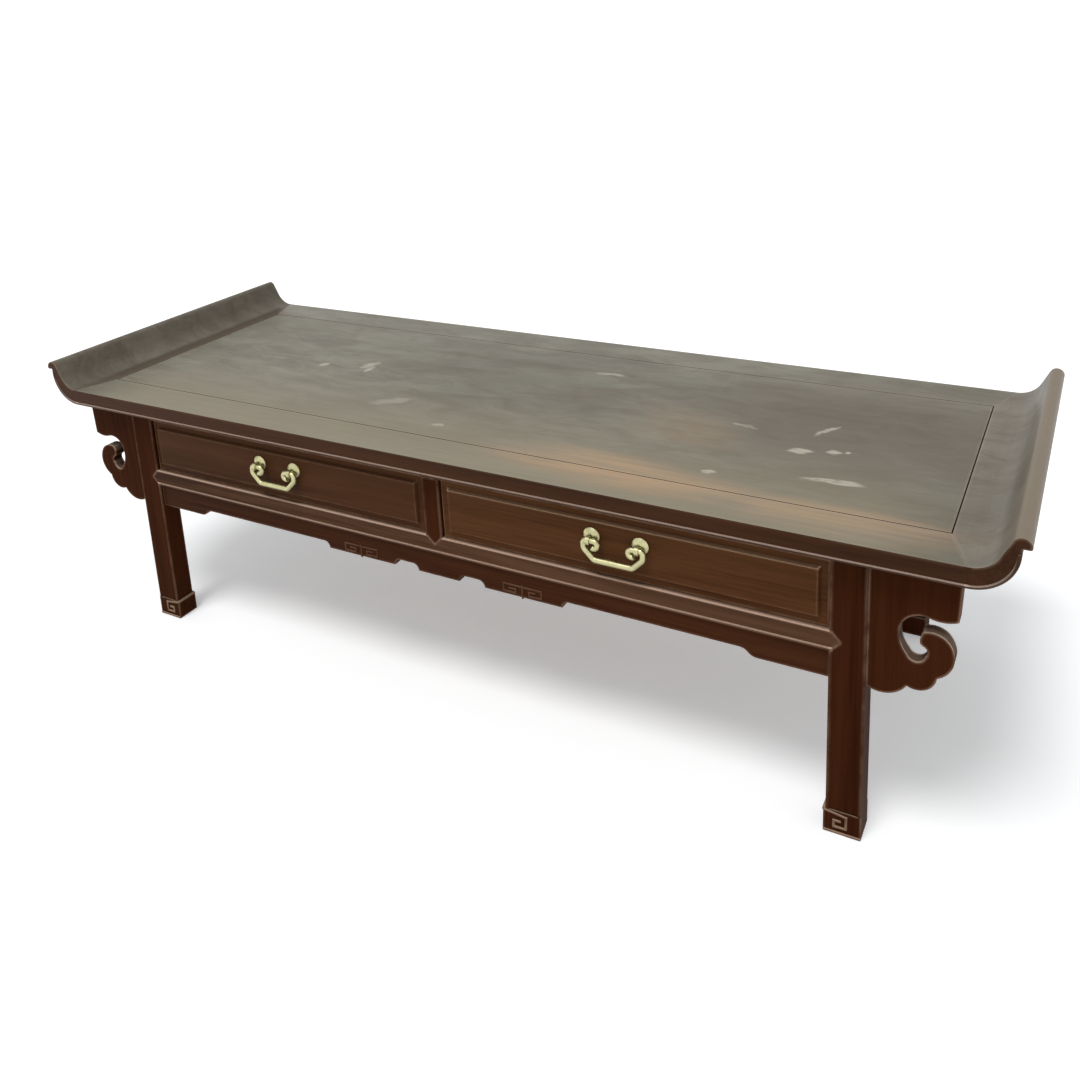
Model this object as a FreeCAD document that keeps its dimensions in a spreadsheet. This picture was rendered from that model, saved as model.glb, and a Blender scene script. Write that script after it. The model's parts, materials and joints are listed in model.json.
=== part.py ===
"""Low hardwood coffee table with everted ends, two drawers and brass bail handles.

Millimetres. X runs along the table, the front faces -Y and Z is up. The origin lies on the floor
under the middle of the top. Left and right are those of somebody who faces the drawers.
"""
import FreeCAD, Part
import os
import re
import Sketcher

DOC = FreeCAD.newDocument("coffee_table")
SHEET = DOC.addObject("Spreadsheet::Sheet", "Sizes")

SIZES = (
    # Framed top with its raised ends
    ("table_length", 1524, "over the lips of the raised ends"),
    ("table_depth", 538, "over the beads of the long frame members"),
    ("table_height", 405, "floor to the flat of the top"),
    ("top_thickness", 25, "edge of the framed top"),
    ("frame_width", 68, "long frame member, seen from above"),
    ("end_flat", 25, "flat of an end member beside the panel"),
    ("flange_rise", 44.5, "flat of the top to the crest of a raised end"),
    ("flange_slope", 63, "steepest slope of a raised end, in degrees"),
    ("lip_radius", 10, "roll at the crest of a raised end"),
    ("lip_drop", 2.5, "rounding under the lip"),
    ("lip_overhang", 9.5, "lip past the outer face of a raised end"),
    ("flange_straight", 6, "upright part of a raised end's outer face, under the lip"),
    ("edge_bead", 4.6, "height of the bead along the top's lower edge"),
    ("bead_proud", 1.2, "beads past the faces they run along"),
    ("panel_thickness", 14, "floating panel of the top"),
    ("panel_gap", 1.4, "open joint round the panel"),
    ("tongue_thickness", 6, "tongue round the panel"),
    ("tongue_length", 8, "tongue into the frame"),
    ("mitre_tenon", 12, "tenon of a long member past its mitre"),
    ("batten_width", 45, "brace under the panel"),
    ("batten_height", 20, "brace under the panel"),
    ("batten_tenon", 12, "brace into the long members"),
    ("batten_inset", 118, "end rail to the next brace"),
    # Legs
    ("end_overhang", 165, "lip of a raised end to the outer face of a leg"),
    ("leg_width", 43, "leg, seen from the front"),
    ("leg_depth", 34, "leg, seen from the end"),
    ("leg_setback", 22, "top's edge to the face of a leg"),
    ("bead_width", 4.8, "beads along the edges of legs, rails and uprights"),
    ("foot_height", 32, "hoof foot"),
    ("foot_step", 2.5, "hoof foot past the leg, on the inner sides"),
    ("leg_tenon", 12, "leg into the top"),
    ("leg_shoulder", 9, "round the tenon of a leg"),
    # Rails, dividers and boards between the legs
    ("drawer_opening", 89, "height of the drawer openings"),
    ("rail_height", 27, "rail under the drawers"),
    ("top_rail_height", 14, "rail over the drawers"),
    ("rail_depth", 22, "all rails, front to back"),
    ("end_setback", 4, "outer face of a leg to the face of an end rail"),
    ("rail_shoulder", 5, "round the tenon of a rail"),
    ("rail_tenon", 16, "long rail into a leg"),
    ("point_depth", 8, "thickness of the pointed shoulders on rails and uprights"),
    ("end_tenon", 12, "end rail into a leg"),
    ("divider_width", 28, "upright between the drawers"),
    ("divider_tenon", 6, "upright into the rails"),
    ("board_thickness", 10, "boards that close the back and the ends"),
    ("board_tongue", 4.5, "those boards into their grooves"),
    # Aprons under the rails
    ("apron_thickness", 16, "all aprons"),
    ("apron_setback", 5, "face of a rail to the face of its apron"),
    ("apron_drop", 38, "deepest part of an apron"),
    ("apron_rise", 10, "step up to the shallow part of an apron"),
    ("apron_tongue", 5, "apron into a leg"),
    ("drop_width", 70, "plain drop in the middle of the front apron"),
    ("fret_gap", 42, "middle drop to a fret block"),
    ("fret_length", 122, "fret block of the front apron"),
    ("shoulder_length", 86, "deep end of a long apron beside a leg"),
    ("end_shoulder", 60, "deep end of an end apron beside a leg"),
    ("ogee_length", 25, "curve from a deep end to the shallow part"),
    # Cloud scroll spandrels outside the legs
    ("spandrel_reach", 100, "out from the leg"),
    ("spandrel_drop", 168, "down from the top"),
    ("spandrel_thickness", 18, "board"),
    ("spandrel_setback", 2, "face of a leg to the face of a spandrel"),
    ("spandrel_tenon", 8, "spandrel into the leg"),
    # Drawers
    ("drawer_gap", 1.2, "round a drawer front in its opening"),
    ("front_thickness", 14, "drawer front behind its raised field"),
    ("front_setback", 6, "face of a leg to the border of a drawer front"),
    ("field_rise", 5, "raised field past the border"),
    ("field_margin", 10, "border round the raised field"),
    ("field_bevel", 3, "slope round the raised field"),
    ("side_thickness", 11, "drawer sides and backs"),
    ("side_height", 80, "drawer sides"),
    ("side_inset", 2, "end of a drawer front to the drawer side"),
    ("side_housing", 6, "drawer side into the front"),
    ("bottom_thickness", 6, "drawer bottom"),
    ("bottom_lift", 8, "under the drawer bottom"),
    ("bottom_groove", 5, "drawer bottom into its grooves"),
    ("drawer_rear_gap", 4, "behind a closed drawer"),
    ("drawer_running", 0.3, "under the drawer sides"),
    ("runner_width", 40, "strips that carry the drawers"),
    ("runner_height", 20, "strips that carry the drawers"),
    ("runner_tenon", 6, "strips into the rails"),
    ("bearer_ledge", 26, "middle strip past the divider, on each side"),
    ("guide_height", 24, "fence between the drawers"),
    # Bail handles
    ("handle_level", 56, "runners to the stems of the posts"),
    ("post_spacing", 68, "stem to stem"),
    ("stem_radius", 3, "post through the drawer front"),
    ("stem_tail", 9, "post behind the drawer front"),
    ("rosette_radius", 11.5, "domed foot of a post on the drawer front"),
    ("rosette_rim", 1.6, "edge of that dome"),
    ("rosette_height", 6, "crown of that dome"),
    ("pivot_drop", 2, "stem to the pivot of the bail"),
    ("pivot_gap", 0.7, "dome of a post to the rod of the bail"),
    ("eye_wall", 2, "eye of a post round the rod of the bail"),
    ("eye_length", 5.4, "eye of a post along that rod"),
    ("nut_radius", 7, "over the corners"),
    ("nut_height", 5, "along the stem"),
    ("bail_radius", 4, "rod of the bail"),
    ("bail_play", 0.2, "eye of a post to the bend of the bail beside it"),
    ("bail_drop", 26, "pivot to the grip"),
    ("bail_slant", 14.5, "slanted corner of the bail"),
    ("elbow_bend", 0.4, "inside of the bail's bend from the pivot into an arm"),
    ("corner_bend", 2.5, "inside of the corners of the bail"),
    ("curl_bend", 1, "inside of the scroll at the end of the bail"),
    ("curl_offset", 4.6, "eye of a post to the scroll of the bail"),
    # Fits
    ("fit_clearance", 0.2, "round tenons, tongues and boards in their seats"),
    ("turning_clearance", 0.06, "round the bail in its eyes and the stems in their holes"),
)
ALIASES = {name for name, _, _ in SIZES}

# Places that several pieces share, each worked out from the sizes above
UNDERSIDE = "(table_height - top_thickness)"
LIP_CENTRE = "(table_length / 2 - lip_radius)"
LIP_LEVEL = "(table_height + flange_rise - lip_radius)"
FLANGE_RUN = "(flange_rise / sin(flange_slope * 1deg))"
FLANGE_ROOT = f"({LIP_CENTRE} - {FLANGE_RUN})"
FLANGE_FACE = "(table_length / 2 - lip_overhang)"
FLANGE_HOLLOW = "(flange_rise - lip_radius)"
FLANGE_ROUND = "(top_thickness + flange_rise - lip_radius - lip_drop - flange_straight)"
PANEL_END = f"({FLANGE_ROOT} - end_flat)"
PANEL_SIDE = "(table_depth / 2 - frame_width)"
PANEL_LOW = "(table_height - panel_thickness)"
EDGE_FACE = "(table_depth / 2 - bead_proud)"
LEG_OUT = "(table_length / 2 - end_overhang)"
LEG_IN = f"({LEG_OUT} - leg_width)"
LEG_FACE = "(table_depth / 2 - leg_setback)"
LEG_BACK = f"({LEG_FACE} - leg_depth)"
LEG_FLAT = f"({LEG_FACE} - bead_proud)"
TOP_RAIL_LOW = f"({UNDERSIDE} - top_rail_height)"
DRAWER_FLOOR = f"({TOP_RAIL_LOW} - drawer_opening)"
RAIL_LOW = f"({DRAWER_FLOOR} - rail_height)"
RAIL_MIDDLE = f"({DRAWER_FLOOR} - rail_height / 2)"
RAIL_BACK = f"({LEG_FACE} - rail_depth)"
POINT_BACK = f"({LEG_FACE} - point_depth)"
END_FACE = f"({LEG_OUT} - end_setback)"
END_BACK = f"({END_FACE} - rail_depth)"
BATTEN_PLACE = f"({END_BACK} - batten_inset - batten_width / 2)"
APRON_LOW = f"({RAIL_LOW} - apron_drop)"
APRON_HIGH = f"({APRON_LOW} + apron_rise)"
SPANDREL_FACE = f"({LEG_FACE} - spandrel_setback)"
BORDER_FACE = f"({LEG_FACE} - front_setback)"
FRONT_BACK = f"({BORDER_FACE} - front_thickness)"
FIELD_FACE = f"({BORDER_FACE} + field_rise)"
DRAWER_IN = "(divider_width / 2 + drawer_gap)"
DRAWER_OUT = f"({LEG_IN} - drawer_gap)"
SIDE_LOW = f"({DRAWER_FLOOR} + drawer_running)"
BOTTOM_LOW = f"({SIDE_LOW} + bottom_lift)"
REAR_BOARD = f"({RAIL_BACK} + rail_depth / 2 - board_thickness / 2)"
DRAWER_REAR = f"({REAR_BOARD} - drawer_rear_gap)"
HANDLE_MIDDLE = f"(({DRAWER_IN} + {DRAWER_OUT}) / 2)"
HANDLE_LEVEL = f"({DRAWER_FLOOR} + handle_level)"
PIVOT_REACH = "(rosette_height + pivot_gap + bail_radius)"
EYE_BORE = "(bail_radius + turning_clearance)"

SIDES = (("left", -1), ("right", 1))
ENDS = (("front", -1), ("rear", 1))

# Shares of a right angle's arc that a three point arc passes
ARC_NEAR = 0.292893
ARC_FAR = 0.707107
# Tangent of a quarter of a right angle, for the corners of the bail
BEND_TANGENT = 0.414214


def write_sheet():
    """Fills the sheet with one row for each size: its name, its value and what it measures."""
    for row, (name, size, note) in enumerate(SIZES, start=1):
        SHEET.set(f"A{row}", name)
        SHEET.set(f"B{row}", str(size))
        SHEET.setAlias(f"B{row}", name)
        SHEET.set(f"C{row}", note)
    DOC.recompute()


def sized(text):
    """Gives the expression with every size in it written as a cell of the sheet."""
    return re.sub(r"[a-z_]+", lambda word: f"Sizes.{word[0]}" if word[0] in ALIASES else word[0], text)


def bind(thing, name, text):
    """Ties a property of a document object to an expression in the sizes."""
    thing.setExpression(name, sized(text))


def worth(text):
    """Works out an expression in the sizes as a plain number."""
    return float(SHEET.evalExpression(text))


def span(sign, near, far):
    """Gives the lower and upper bound of a stretch on the left or right, or front or rear, side."""
    if sign > 0:
        return near, far
    return f"-({far})", f"-({near})"


def both_ways(half):
    """Gives the bounds of a stretch that lies evenly about the middle."""
    return f"-({half})", f"({half})"


def about(middle, half):
    """Gives the bounds of a stretch that lies evenly about a place."""
    return f"({middle}) - ({half})", f"({middle}) + ({half})"


def shape_box(thing, box, clearance):
    """Ties a box to its bounds along X, Y and Z, widened all round by a clearance."""
    for axis, length, (low, high) in zip("xyz", ("Length", "Width", "Height"), box):
        bind(thing, length, f"({high}) - ({low}) + 2 * ({clearance})")
        bind(thing, f"Placement.Base.{axis}", f"({low}) - ({clearance})")


def new_body(name):
    """Starts a piece that is made of features."""
    body = DOC.addObject("PartDesign::Body", name)
    body.Label = name
    return body


def add_block(body, name, box):
    """Adds a rectangular piece of wood, such as a tenon."""
    block = body.newObject("PartDesign::AdditiveBox", f"{body.Name}_{name}")
    shape_box(block, box, "0")
    return block


def cut_seat(body, name, box):
    """Cuts the seat of a tenon, tongue or board that fills the box."""
    seat = body.newObject("PartDesign::SubtractiveBox", f"{body.Name}_{name}")
    shape_box(seat, box, "fit_clearance")
    return seat


def cut_diamond(body, name, corner, diagonal, across):
    """Cuts a square that stands on one corner, seen from the front, with its left corner at a place."""
    cut = body.newObject("PartDesign::SubtractiveBox", f"{body.Name}_{name}")
    cut.Placement = FreeCAD.Placement(FreeCAD.Vector(), FreeCAD.Rotation(FreeCAD.Vector(0, 1, 0), 45))
    near, far = across
    bind(cut, "Length", f"({diagonal}) * {ARC_FAR}")
    bind(cut, "Width", f"({far}) - ({near})")
    bind(cut, "Height", f"({diagonal}) * {ARC_FAR}")
    bind(cut, "Placement.Base.x", corner[0])
    bind(cut, "Placement.Base.y", near)
    bind(cut, "Placement.Base.z", corner[1])
    return cut


def cut_point_seat(body, name, end, middle, level, width):
    """Cuts the seat of a pointed shoulder, centred where the shoulder's edge line starts."""
    half = f"(({width}) / 2 + fit_clearance)"
    across = span(end, f"{POINT_BACK} - fit_clearance", f"{LEG_FACE} + fit_clearance")
    return cut_diamond(body, name, (f"{middle} - {half}", level), f"2 * {half}", across)


def board(name, box):
    """Makes a plain board."""
    plank = DOC.addObject("Part::Box", name)
    plank.Label = name
    shape_box(plank, box, "0")
    return plank


def origin_plane(body, role):
    """Finds one of the three planes through a body's origin."""
    return next(plane for plane in body.Origin.OriginFeatures if plane.Role == role)


def pin(sketch, geometry, end, place):
    """Ties a point of a sketch to two expressions, measured from the origin."""
    for kind, text in zip(("DistanceX", "DistanceY"), place):
        rule = Sketcher.Constraint(kind, -1, 1, geometry, end, worth(text))
        bind(sketch, f"Constraints[{sketch.addConstraint(rule)}]", text)


def vector(place):
    """Gives the present place of two expressions in a sketch."""
    return FreeCAD.Vector(worth(place[0]), worth(place[1]), 0)


def new_sketch(body, name, role, offset="0"):
    """Starts a sketch on one of the body's origin planes, or beside it."""
    sketch = body.newObject("Sketcher::SketchObject", f"{body.Name}_{name}")
    sketch.AttachmentSupport = [(origin_plane(body, role), "")]
    sketch.MapMode = "FlatFace"
    bind(sketch, "AttachmentOffset.Base.z", offset)
    return sketch


def draw(sketch, start, steps, closed=True):
    """Draws a run of lines and arcs through places that are expressions in the sizes.

    A step is one place for a line, or a place on the way and the end's place for an arc.
    """
    run = []
    here = start
    for step in steps:
        if len(step) == 1:
            edge = Part.LineSegment(vector(here), vector(step[0]))
        else:
            edge = Part.Arc(vector(here), vector(step[0]), vector(step[1]))
        geometry = sketch.addGeometry(edge, False)
        begin = begin_of(sketch, geometry, here)
        pin(sketch, geometry, begin, here)
        if len(step) == 2:
            way = sketch.addGeometry(Part.Point(vector(step[0])), True)
            pin(sketch, way, 1, step[0])
            sketch.addConstraint(Sketcher.Constraint("PointOnObject", way, 1, geometry))
        run.append((geometry, begin))
        here = step[-1]
    followers = run[1:] + run[:1] if closed else run[1:]
    for (geometry, begin), (following, start_point) in zip(run, followers):
        sketch.addConstraint(Sketcher.Constraint("Coincident", geometry, 3 - begin, following, start_point))
    if not closed:
        pin(sketch, run[-1][0], 3 - run[-1][1], here)


def begin_of(sketch, geometry, place):
    """Tells which end of an edge lies at a place, because an arc always runs anticlockwise."""
    gap = sketch.getPoint(geometry, 1).distanceToPoint(vector(place))
    return 1 if gap < 1e-6 else 2


def pad(body, sketch, length, symmetric=False):
    """Gives a sketch its thickness along its normal, or evenly to both sides."""
    feature = body.newObject("PartDesign::Pad", f"{sketch.Name}_pad")
    feature.Profile = sketch
    if symmetric:
        feature.SideType = "Symmetric"
    bind(feature, "Length", length)
    return feature


def pocket(body, sketch, depth):
    """Cuts a sketch into the wood behind it."""
    feature = body.newObject("PartDesign::Pocket", f"{sketch.Name}_pocket")
    feature.Profile = sketch
    bind(feature, "Length", depth)
    return feature


def flip(sign, text):
    """Puts a place on the left or right, or on the front or rear, side."""
    return f"{sign} * ({text})"


# Joints: each box is the tenon or tongue of one piece and the seat in its neighbour

def leg_tenon(side, end):
    """Tenon on top of a leg."""
    return (
        span(side, f"{LEG_IN} + leg_shoulder", f"{LEG_OUT} - leg_shoulder"),
        span(end, f"{LEG_BACK} + leg_shoulder", f"{LEG_FACE} - leg_shoulder"),
        (UNDERSIDE, f"{UNDERSIDE} + leg_tenon"),
    )


def mitre_tenon(side, end):
    """Tenon of a long frame member through its mitre."""
    return (
        span(side, PANEL_END, f"{FLANGE_ROOT} + mitre_tenon"),
        span(end, f"{PANEL_SIDE} + frame_width / 3", f"{PANEL_SIDE} + frame_width * 2 / 3"),
        (f"{UNDERSIDE} + top_thickness / 3", f"{UNDERSIDE} + top_thickness * 2 / 3"),
    )


def batten_tenons(place):
    """Tenons at both ends of a brace under the panel."""
    return (
        about(place, "batten_width / 2"),
        both_ways(f"{PANEL_SIDE} + batten_tenon"),
        about(f"({UNDERSIDE} + {PANEL_LOW}) / 2", f"({PANEL_LOW} - {UNDERSIDE}) / 4"),
    )


def rail_tenon(side, end, low, high):
    """Tenon of a long rail in a leg."""
    return (
        span(side, LEG_IN, f"{LEG_IN} + rail_tenon"),
        span(end, f"{RAIL_BACK} + rail_shoulder", POINT_BACK),
        (f"{low} + rail_shoulder", f"{high} - rail_shoulder"),
    )


def end_rail_tenon(side, end, low, high):
    """Tenon of an end rail in a leg."""
    return (
        span(side, f"{END_BACK} + rail_shoulder", f"{END_FACE} - rail_shoulder"),
        span(end, LEG_BACK, f"{LEG_BACK} + end_tenon"),
        (f"{low} + rail_shoulder", f"{high} - rail_shoulder"),
    )


def apron_tongue(side, end):
    """Tongue of a long apron in a leg."""
    face = f"{LEG_FACE} - apron_setback"
    return (
        span(side, LEG_IN, f"{LEG_IN} + apron_tongue"),
        span(end, f"{face} - apron_thickness * 3 / 4", f"{face} - apron_thickness / 4"),
        (f"{APRON_LOW} + apron_tongue", f"{RAIL_LOW} - apron_tongue"),
    )


def end_apron_tongue(side, end):
    """Tongue of an end apron in a leg."""
    face = f"{END_FACE} - apron_setback"
    return (
        span(side, f"{face} - apron_thickness * 3 / 4", f"{face} - apron_thickness / 4"),
        span(end, LEG_BACK, f"{LEG_BACK} + apron_tongue"),
        (f"{APRON_LOW} + apron_tongue", f"{RAIL_LOW} - apron_tongue"),
    )


def spandrel_tenon(side, end):
    """Tenon of a spandrel in the outer side of a leg."""
    quarter = "spandrel_thickness / 4"
    return (
        span(side, f"{LEG_OUT} - spandrel_tenon", LEG_OUT),
        span(end, f"{SPANDREL_FACE} - 3 * {quarter}", f"{SPANDREL_FACE} - {quarter}"),
        (f"{UNDERSIDE} - spandrel_drop * 0.8", f"{UNDERSIDE} - spandrel_drop * 0.1"),
    )


def divider_tenons(end):
    """Tenons at both ends of the upright between the drawers."""
    return (
        both_ways("divider_width / 4"),
        span(end, f"{RAIL_BACK} + rail_shoulder", POINT_BACK),
        (f"{DRAWER_FLOOR} - divider_tenon", f"{TOP_RAIL_LOW} + divider_tenon"),
    )


def rear_board(side):
    """Board that closes one half of the back, tongues included."""
    return (
        span(side, "divider_width / 2 - board_tongue", f"{LEG_IN} + board_tongue"),
        (REAR_BOARD, f"{REAR_BOARD} + board_thickness"),
        (f"{DRAWER_FLOOR} - board_tongue", f"{TOP_RAIL_LOW} + board_tongue"),
    )


def end_board(side):
    """Board that closes one end, tongues included."""
    middle = f"({END_FACE} - rail_depth / 2)"
    return (
        span(side, f"{middle} - board_thickness / 2", f"{middle} + board_thickness / 2"),
        both_ways(f"{LEG_BACK} + board_tongue"),
        (f"{DRAWER_FLOOR} - board_tongue", f"{TOP_RAIL_LOW} + board_tongue"),
    )


def runner_tenons(across):
    """Tenons at both ends of a strip that carries the drawers."""
    return (
        across,
        both_ways(f"{RAIL_BACK} + runner_tenon"),
        (
            f"{DRAWER_FLOOR} - runner_height + rail_shoulder",
            f"{DRAWER_FLOOR} - divider_tenon - rail_shoulder / 2",
        ),
    )


RUNNER_ACROSS = (f"{LEG_IN} - runner_width", LEG_IN)
BEARER_ACROSS = both_ways("divider_width / 2 + bearer_ledge")


# The framed top

def long_member(name, end):
    """Front or rear member of the top: a beaded moulding with mitred ends."""
    body = new_body(name)
    profile = new_sketch(body, "profile", "YZ_Plane")
    face = flip(end, EDGE_FACE)
    inner = flip(end, PANEL_SIDE)
    groove_floor = flip(end, f"{PANEL_SIDE} + tongue_length + fit_clearance")
    groove_low = f"{PANEL_LOW} - fit_clearance"
    groove_high = f"{PANEL_LOW} + tongue_thickness + fit_clearance"
    draw(profile, (inner, UNDERSIDE), (
        ((face, UNDERSIDE),),
        ((flip(end, "table_depth / 2"), f"{UNDERSIDE} + edge_bead / 2"), (face, f"{UNDERSIDE} + edge_bead")),
        ((face, "table_height"),),
        ((inner, "table_height"),),
        ((inner, groove_high),),
        ((groove_floor, groove_high),),
        ((groove_floor, groove_low),),
        ((inner, groove_low),),
        ((inner, UNDERSIDE),),
    ))
    pad(body, profile, f"2 * {FLANGE_ROOT}", symmetric=True)
    mitres = new_sketch(body, "mitres", "XY_Plane", "table_height")
    for _, side in SIDES:
        draw(mitres, (flip(side, PANEL_END), inner), (
            ((flip(side, FLANGE_ROOT), inner),),
            ((flip(side, FLANGE_ROOT), flip(end, "table_depth / 2")),),
            ((flip(side, PANEL_END), inner),),
        ))
    pocket(body, mitres, "top_thickness")
    for word, side in SIDES:
        add_block(body, f"{word}_tenon", mitre_tenon(side, end))
        cut_seat(body, f"{word}_leg_seat", leg_tenon(side, end))
    for number in (-1, 0, 1):
        cut_seat(body, f"batten_seat_{number + 2}", batten_tenons(f"{number} * {BATTEN_PLACE}"))
    return body


def end_member(name, side):
    """End of the top: a flat strip that sweeps up in an S and rolls over into a drooping lip."""
    body = new_body(name)
    profile = new_sketch(body, "profile", "XZ_Plane")
    slope = "(flange_slope * 1deg)"
    tip = "table_length / 2"
    round_top = f"{UNDERSIDE} + {FLANGE_ROUND}"
    under_lip = f"{LIP_LEVEL} - lip_drop"

    def at(x, z):
        return flip(side, x), z

    draw(profile, at(PANEL_END, UNDERSIDE), (
        (at(f"{FLANGE_FACE} - {FLANGE_ROUND}", UNDERSIDE),),
        (
            at(f"{FLANGE_FACE} - {ARC_NEAR} * {FLANGE_ROUND}", f"{UNDERSIDE} + {ARC_NEAR} * {FLANGE_ROUND}"),
            at(FLANGE_FACE, round_top),
        ),
        (at(FLANGE_FACE, under_lip),),
        (at(f"{tip} - lip_drop", under_lip),),
        (
            at(f"{tip} - {ARC_NEAR} * lip_drop", f"{under_lip} + {ARC_NEAR} * lip_drop"),
            at(tip, LIP_LEVEL),
        ),
        (
            at(LIP_CENTRE, f"{LIP_LEVEL} + lip_radius"),
            at(f"{LIP_CENTRE} - lip_radius * sin({slope})", f"{LIP_LEVEL} + lip_radius * cos({slope})"),
        ),
        (at(
            f"{FLANGE_ROOT} + {FLANGE_HOLLOW} * sin({slope})",
            f"table_height + {FLANGE_HOLLOW} * (1 - cos({slope}))",
        ),),
        (
            at(
                f"{FLANGE_ROOT} + {FLANGE_HOLLOW} * sin({slope} / 2)",
                f"table_height + {FLANGE_HOLLOW} * (1 - cos({slope} / 2))",
            ),
            at(FLANGE_ROOT, "table_height"),
        ),
        (at(PANEL_END, "table_height"),),
        (at(PANEL_END, UNDERSIDE),),
    ))
    pad(body, profile, f"2 * {EDGE_FACE}", symmetric=True)
    for word, end in ENDS:
        flange_bead(body, f"{word}_bead", side, end)
    mitres = new_sketch(body, "mitres", "XY_Plane", "table_height")
    for _, end in ENDS:
        draw(mitres, at(PANEL_END, flip(end, PANEL_SIDE)), (
            (at(FLANGE_ROOT, flip(end, "table_depth / 2")),),
            (at(PANEL_END, flip(end, "table_depth / 2")),),
            (at(PANEL_END, flip(end, PANEL_SIDE)),),
        ))
    pocket(body, mitres, "top_thickness")
    cut_seat(body, "panel_groove", (
        span(side, PANEL_END, f"{PANEL_END} + tongue_length"),
        both_ways(f"{PANEL_SIDE} + tongue_length"),
        (PANEL_LOW, f"{PANEL_LOW} + tongue_thickness"),
    ))
    for word, end in ENDS:
        cut_seat(body, f"{word}_tenon_seat", mitre_tenon(side, end))
    return body


def flange_bead(body, name, side, end):
    """Bead that follows the round of a raised end on from the bead of the long member."""
    section = new_sketch(body, name, "YZ_Plane", flip(side, f"{FLANGE_FACE} - {FLANGE_ROUND}"))
    face = flip(end, EDGE_FACE)
    crest = flip(end, "table_depth / 2")
    draw(section, (face, UNDERSIDE), (
        ((crest, f"{UNDERSIDE} + edge_bead / 2"), (face, f"{UNDERSIDE} + edge_bead")),
        ((face, UNDERSIDE),),
    ))
    centre = f"{UNDERSIDE} + {FLANGE_ROUND}"
    begin = (flip(side, EDGE_FACE), centre)
    finish = (flip(-side, EDGE_FACE), centre)
    axis = section.addGeometry(Part.LineSegment(vector(begin), vector(finish)), True)
    pin(section, axis, 1, begin)
    pin(section, axis, 2, finish)
    bead = body.newObject("PartDesign::Revolution", f"{section.Name}_turned")
    bead.Profile = section
    bead.ReferenceAxis = (section, ["Axis0"])
    bead.Angle = 90
    return bead


def top_panel(name):
    """Panel that floats in the grooves of the frame, flush with it."""
    body = new_body(name)
    add_block(body, "field", (
        both_ways(f"{PANEL_END} - panel_gap"),
        both_ways(f"{PANEL_SIDE} - panel_gap"),
        (PANEL_LOW, "table_height"),
    ))
    add_block(body, "tongue", (
        both_ways(f"{PANEL_END} + tongue_length"),
        both_ways(f"{PANEL_SIDE} + tongue_length"),
        (PANEL_LOW, f"{PANEL_LOW} + tongue_thickness"),
    ))
    return body


def batten(name, place):
    """Brace across the underside of the panel."""
    body = new_body(name)
    add_block(body, "bar", (
        about(place, "batten_width / 2"),
        both_ways(PANEL_SIDE),
        (f"{PANEL_LOW} - batten_height", PANEL_LOW),
    ))
    add_block(body, "tenons", batten_tenons(place))
    return body


# Legs, rails and boards

def leg(name, side, end):
    """Square leg with a bead down each edge of its face and a low hoof foot."""
    body = new_body(name)
    section = new_sketch(body, "section", "XY_Plane")

    def at(x, y):
        return flip(side, x), flip(end, y)

    draw(section, at(LEG_IN, LEG_BACK), (
        (at(LEG_OUT, LEG_BACK),),
        (at(LEG_OUT, LEG_FLAT),),
        (at(f"{LEG_OUT} - bead_width / 2", LEG_FACE), at(f"{LEG_OUT} - bead_width", LEG_FLAT)),
        (at(f"{LEG_IN} + bead_width", LEG_FLAT),),
        (at(f"{LEG_IN} + bead_width / 2", LEG_FACE), at(LEG_IN, LEG_FLAT)),
        (at(LEG_IN, LEG_BACK),),
    ))
    pad(body, section, UNDERSIDE)
    add_block(body, "foot", (
        span(side, f"{LEG_IN} - foot_step", LEG_OUT),
        span(end, f"{LEG_BACK} - foot_step", LEG_FACE),
        ("0", "foot_height"),
    ))
    add_block(body, "tenon", leg_tenon(side, end))
    cut_point_seat(body, "rail_point_seat", end, flip(side, LEG_IN), RAIL_MIDDLE, "rail_height")
    for word, low, high in (("low", RAIL_LOW, DRAWER_FLOOR), ("top", TOP_RAIL_LOW, UNDERSIDE)):
        cut_seat(body, f"{word}_rail_seat", rail_tenon(side, end, low, high))
        cut_seat(body, f"{word}_end_rail_seat", end_rail_tenon(side, end, low, high))
    cut_seat(body, "apron_seat", apron_tongue(side, end))
    cut_seat(body, "end_apron_seat", end_apron_tongue(side, end))
    cut_seat(body, "spandrel_seat", spandrel_tenon(side, end))
    cut_seat(body, "end_board_seat", end_board(side))
    if end > 0:
        cut_seat(body, "rear_board_seat", rear_board(side))
    return body


def beaded_section(sketch, sign, crest, back):
    """Draws the section of a drawer rail, with a bead along both edges of its face."""
    flat = flip(sign, f"{crest} - bead_proud")
    ridge = flip(sign, crest)
    rear = flip(sign, back)
    draw(sketch, (rear, RAIL_LOW), (
        ((flat, RAIL_LOW),),
        ((ridge, f"{RAIL_LOW} + bead_width / 2"), (flat, f"{RAIL_LOW} + bead_width")),
        ((flat, f"{DRAWER_FLOOR} - bead_width"),),
        ((ridge, f"{DRAWER_FLOOR} - bead_width / 2"), (flat, DRAWER_FLOOR)),
        ((rear, DRAWER_FLOOR),),
        ((rear, RAIL_LOW),),
    ))


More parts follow.
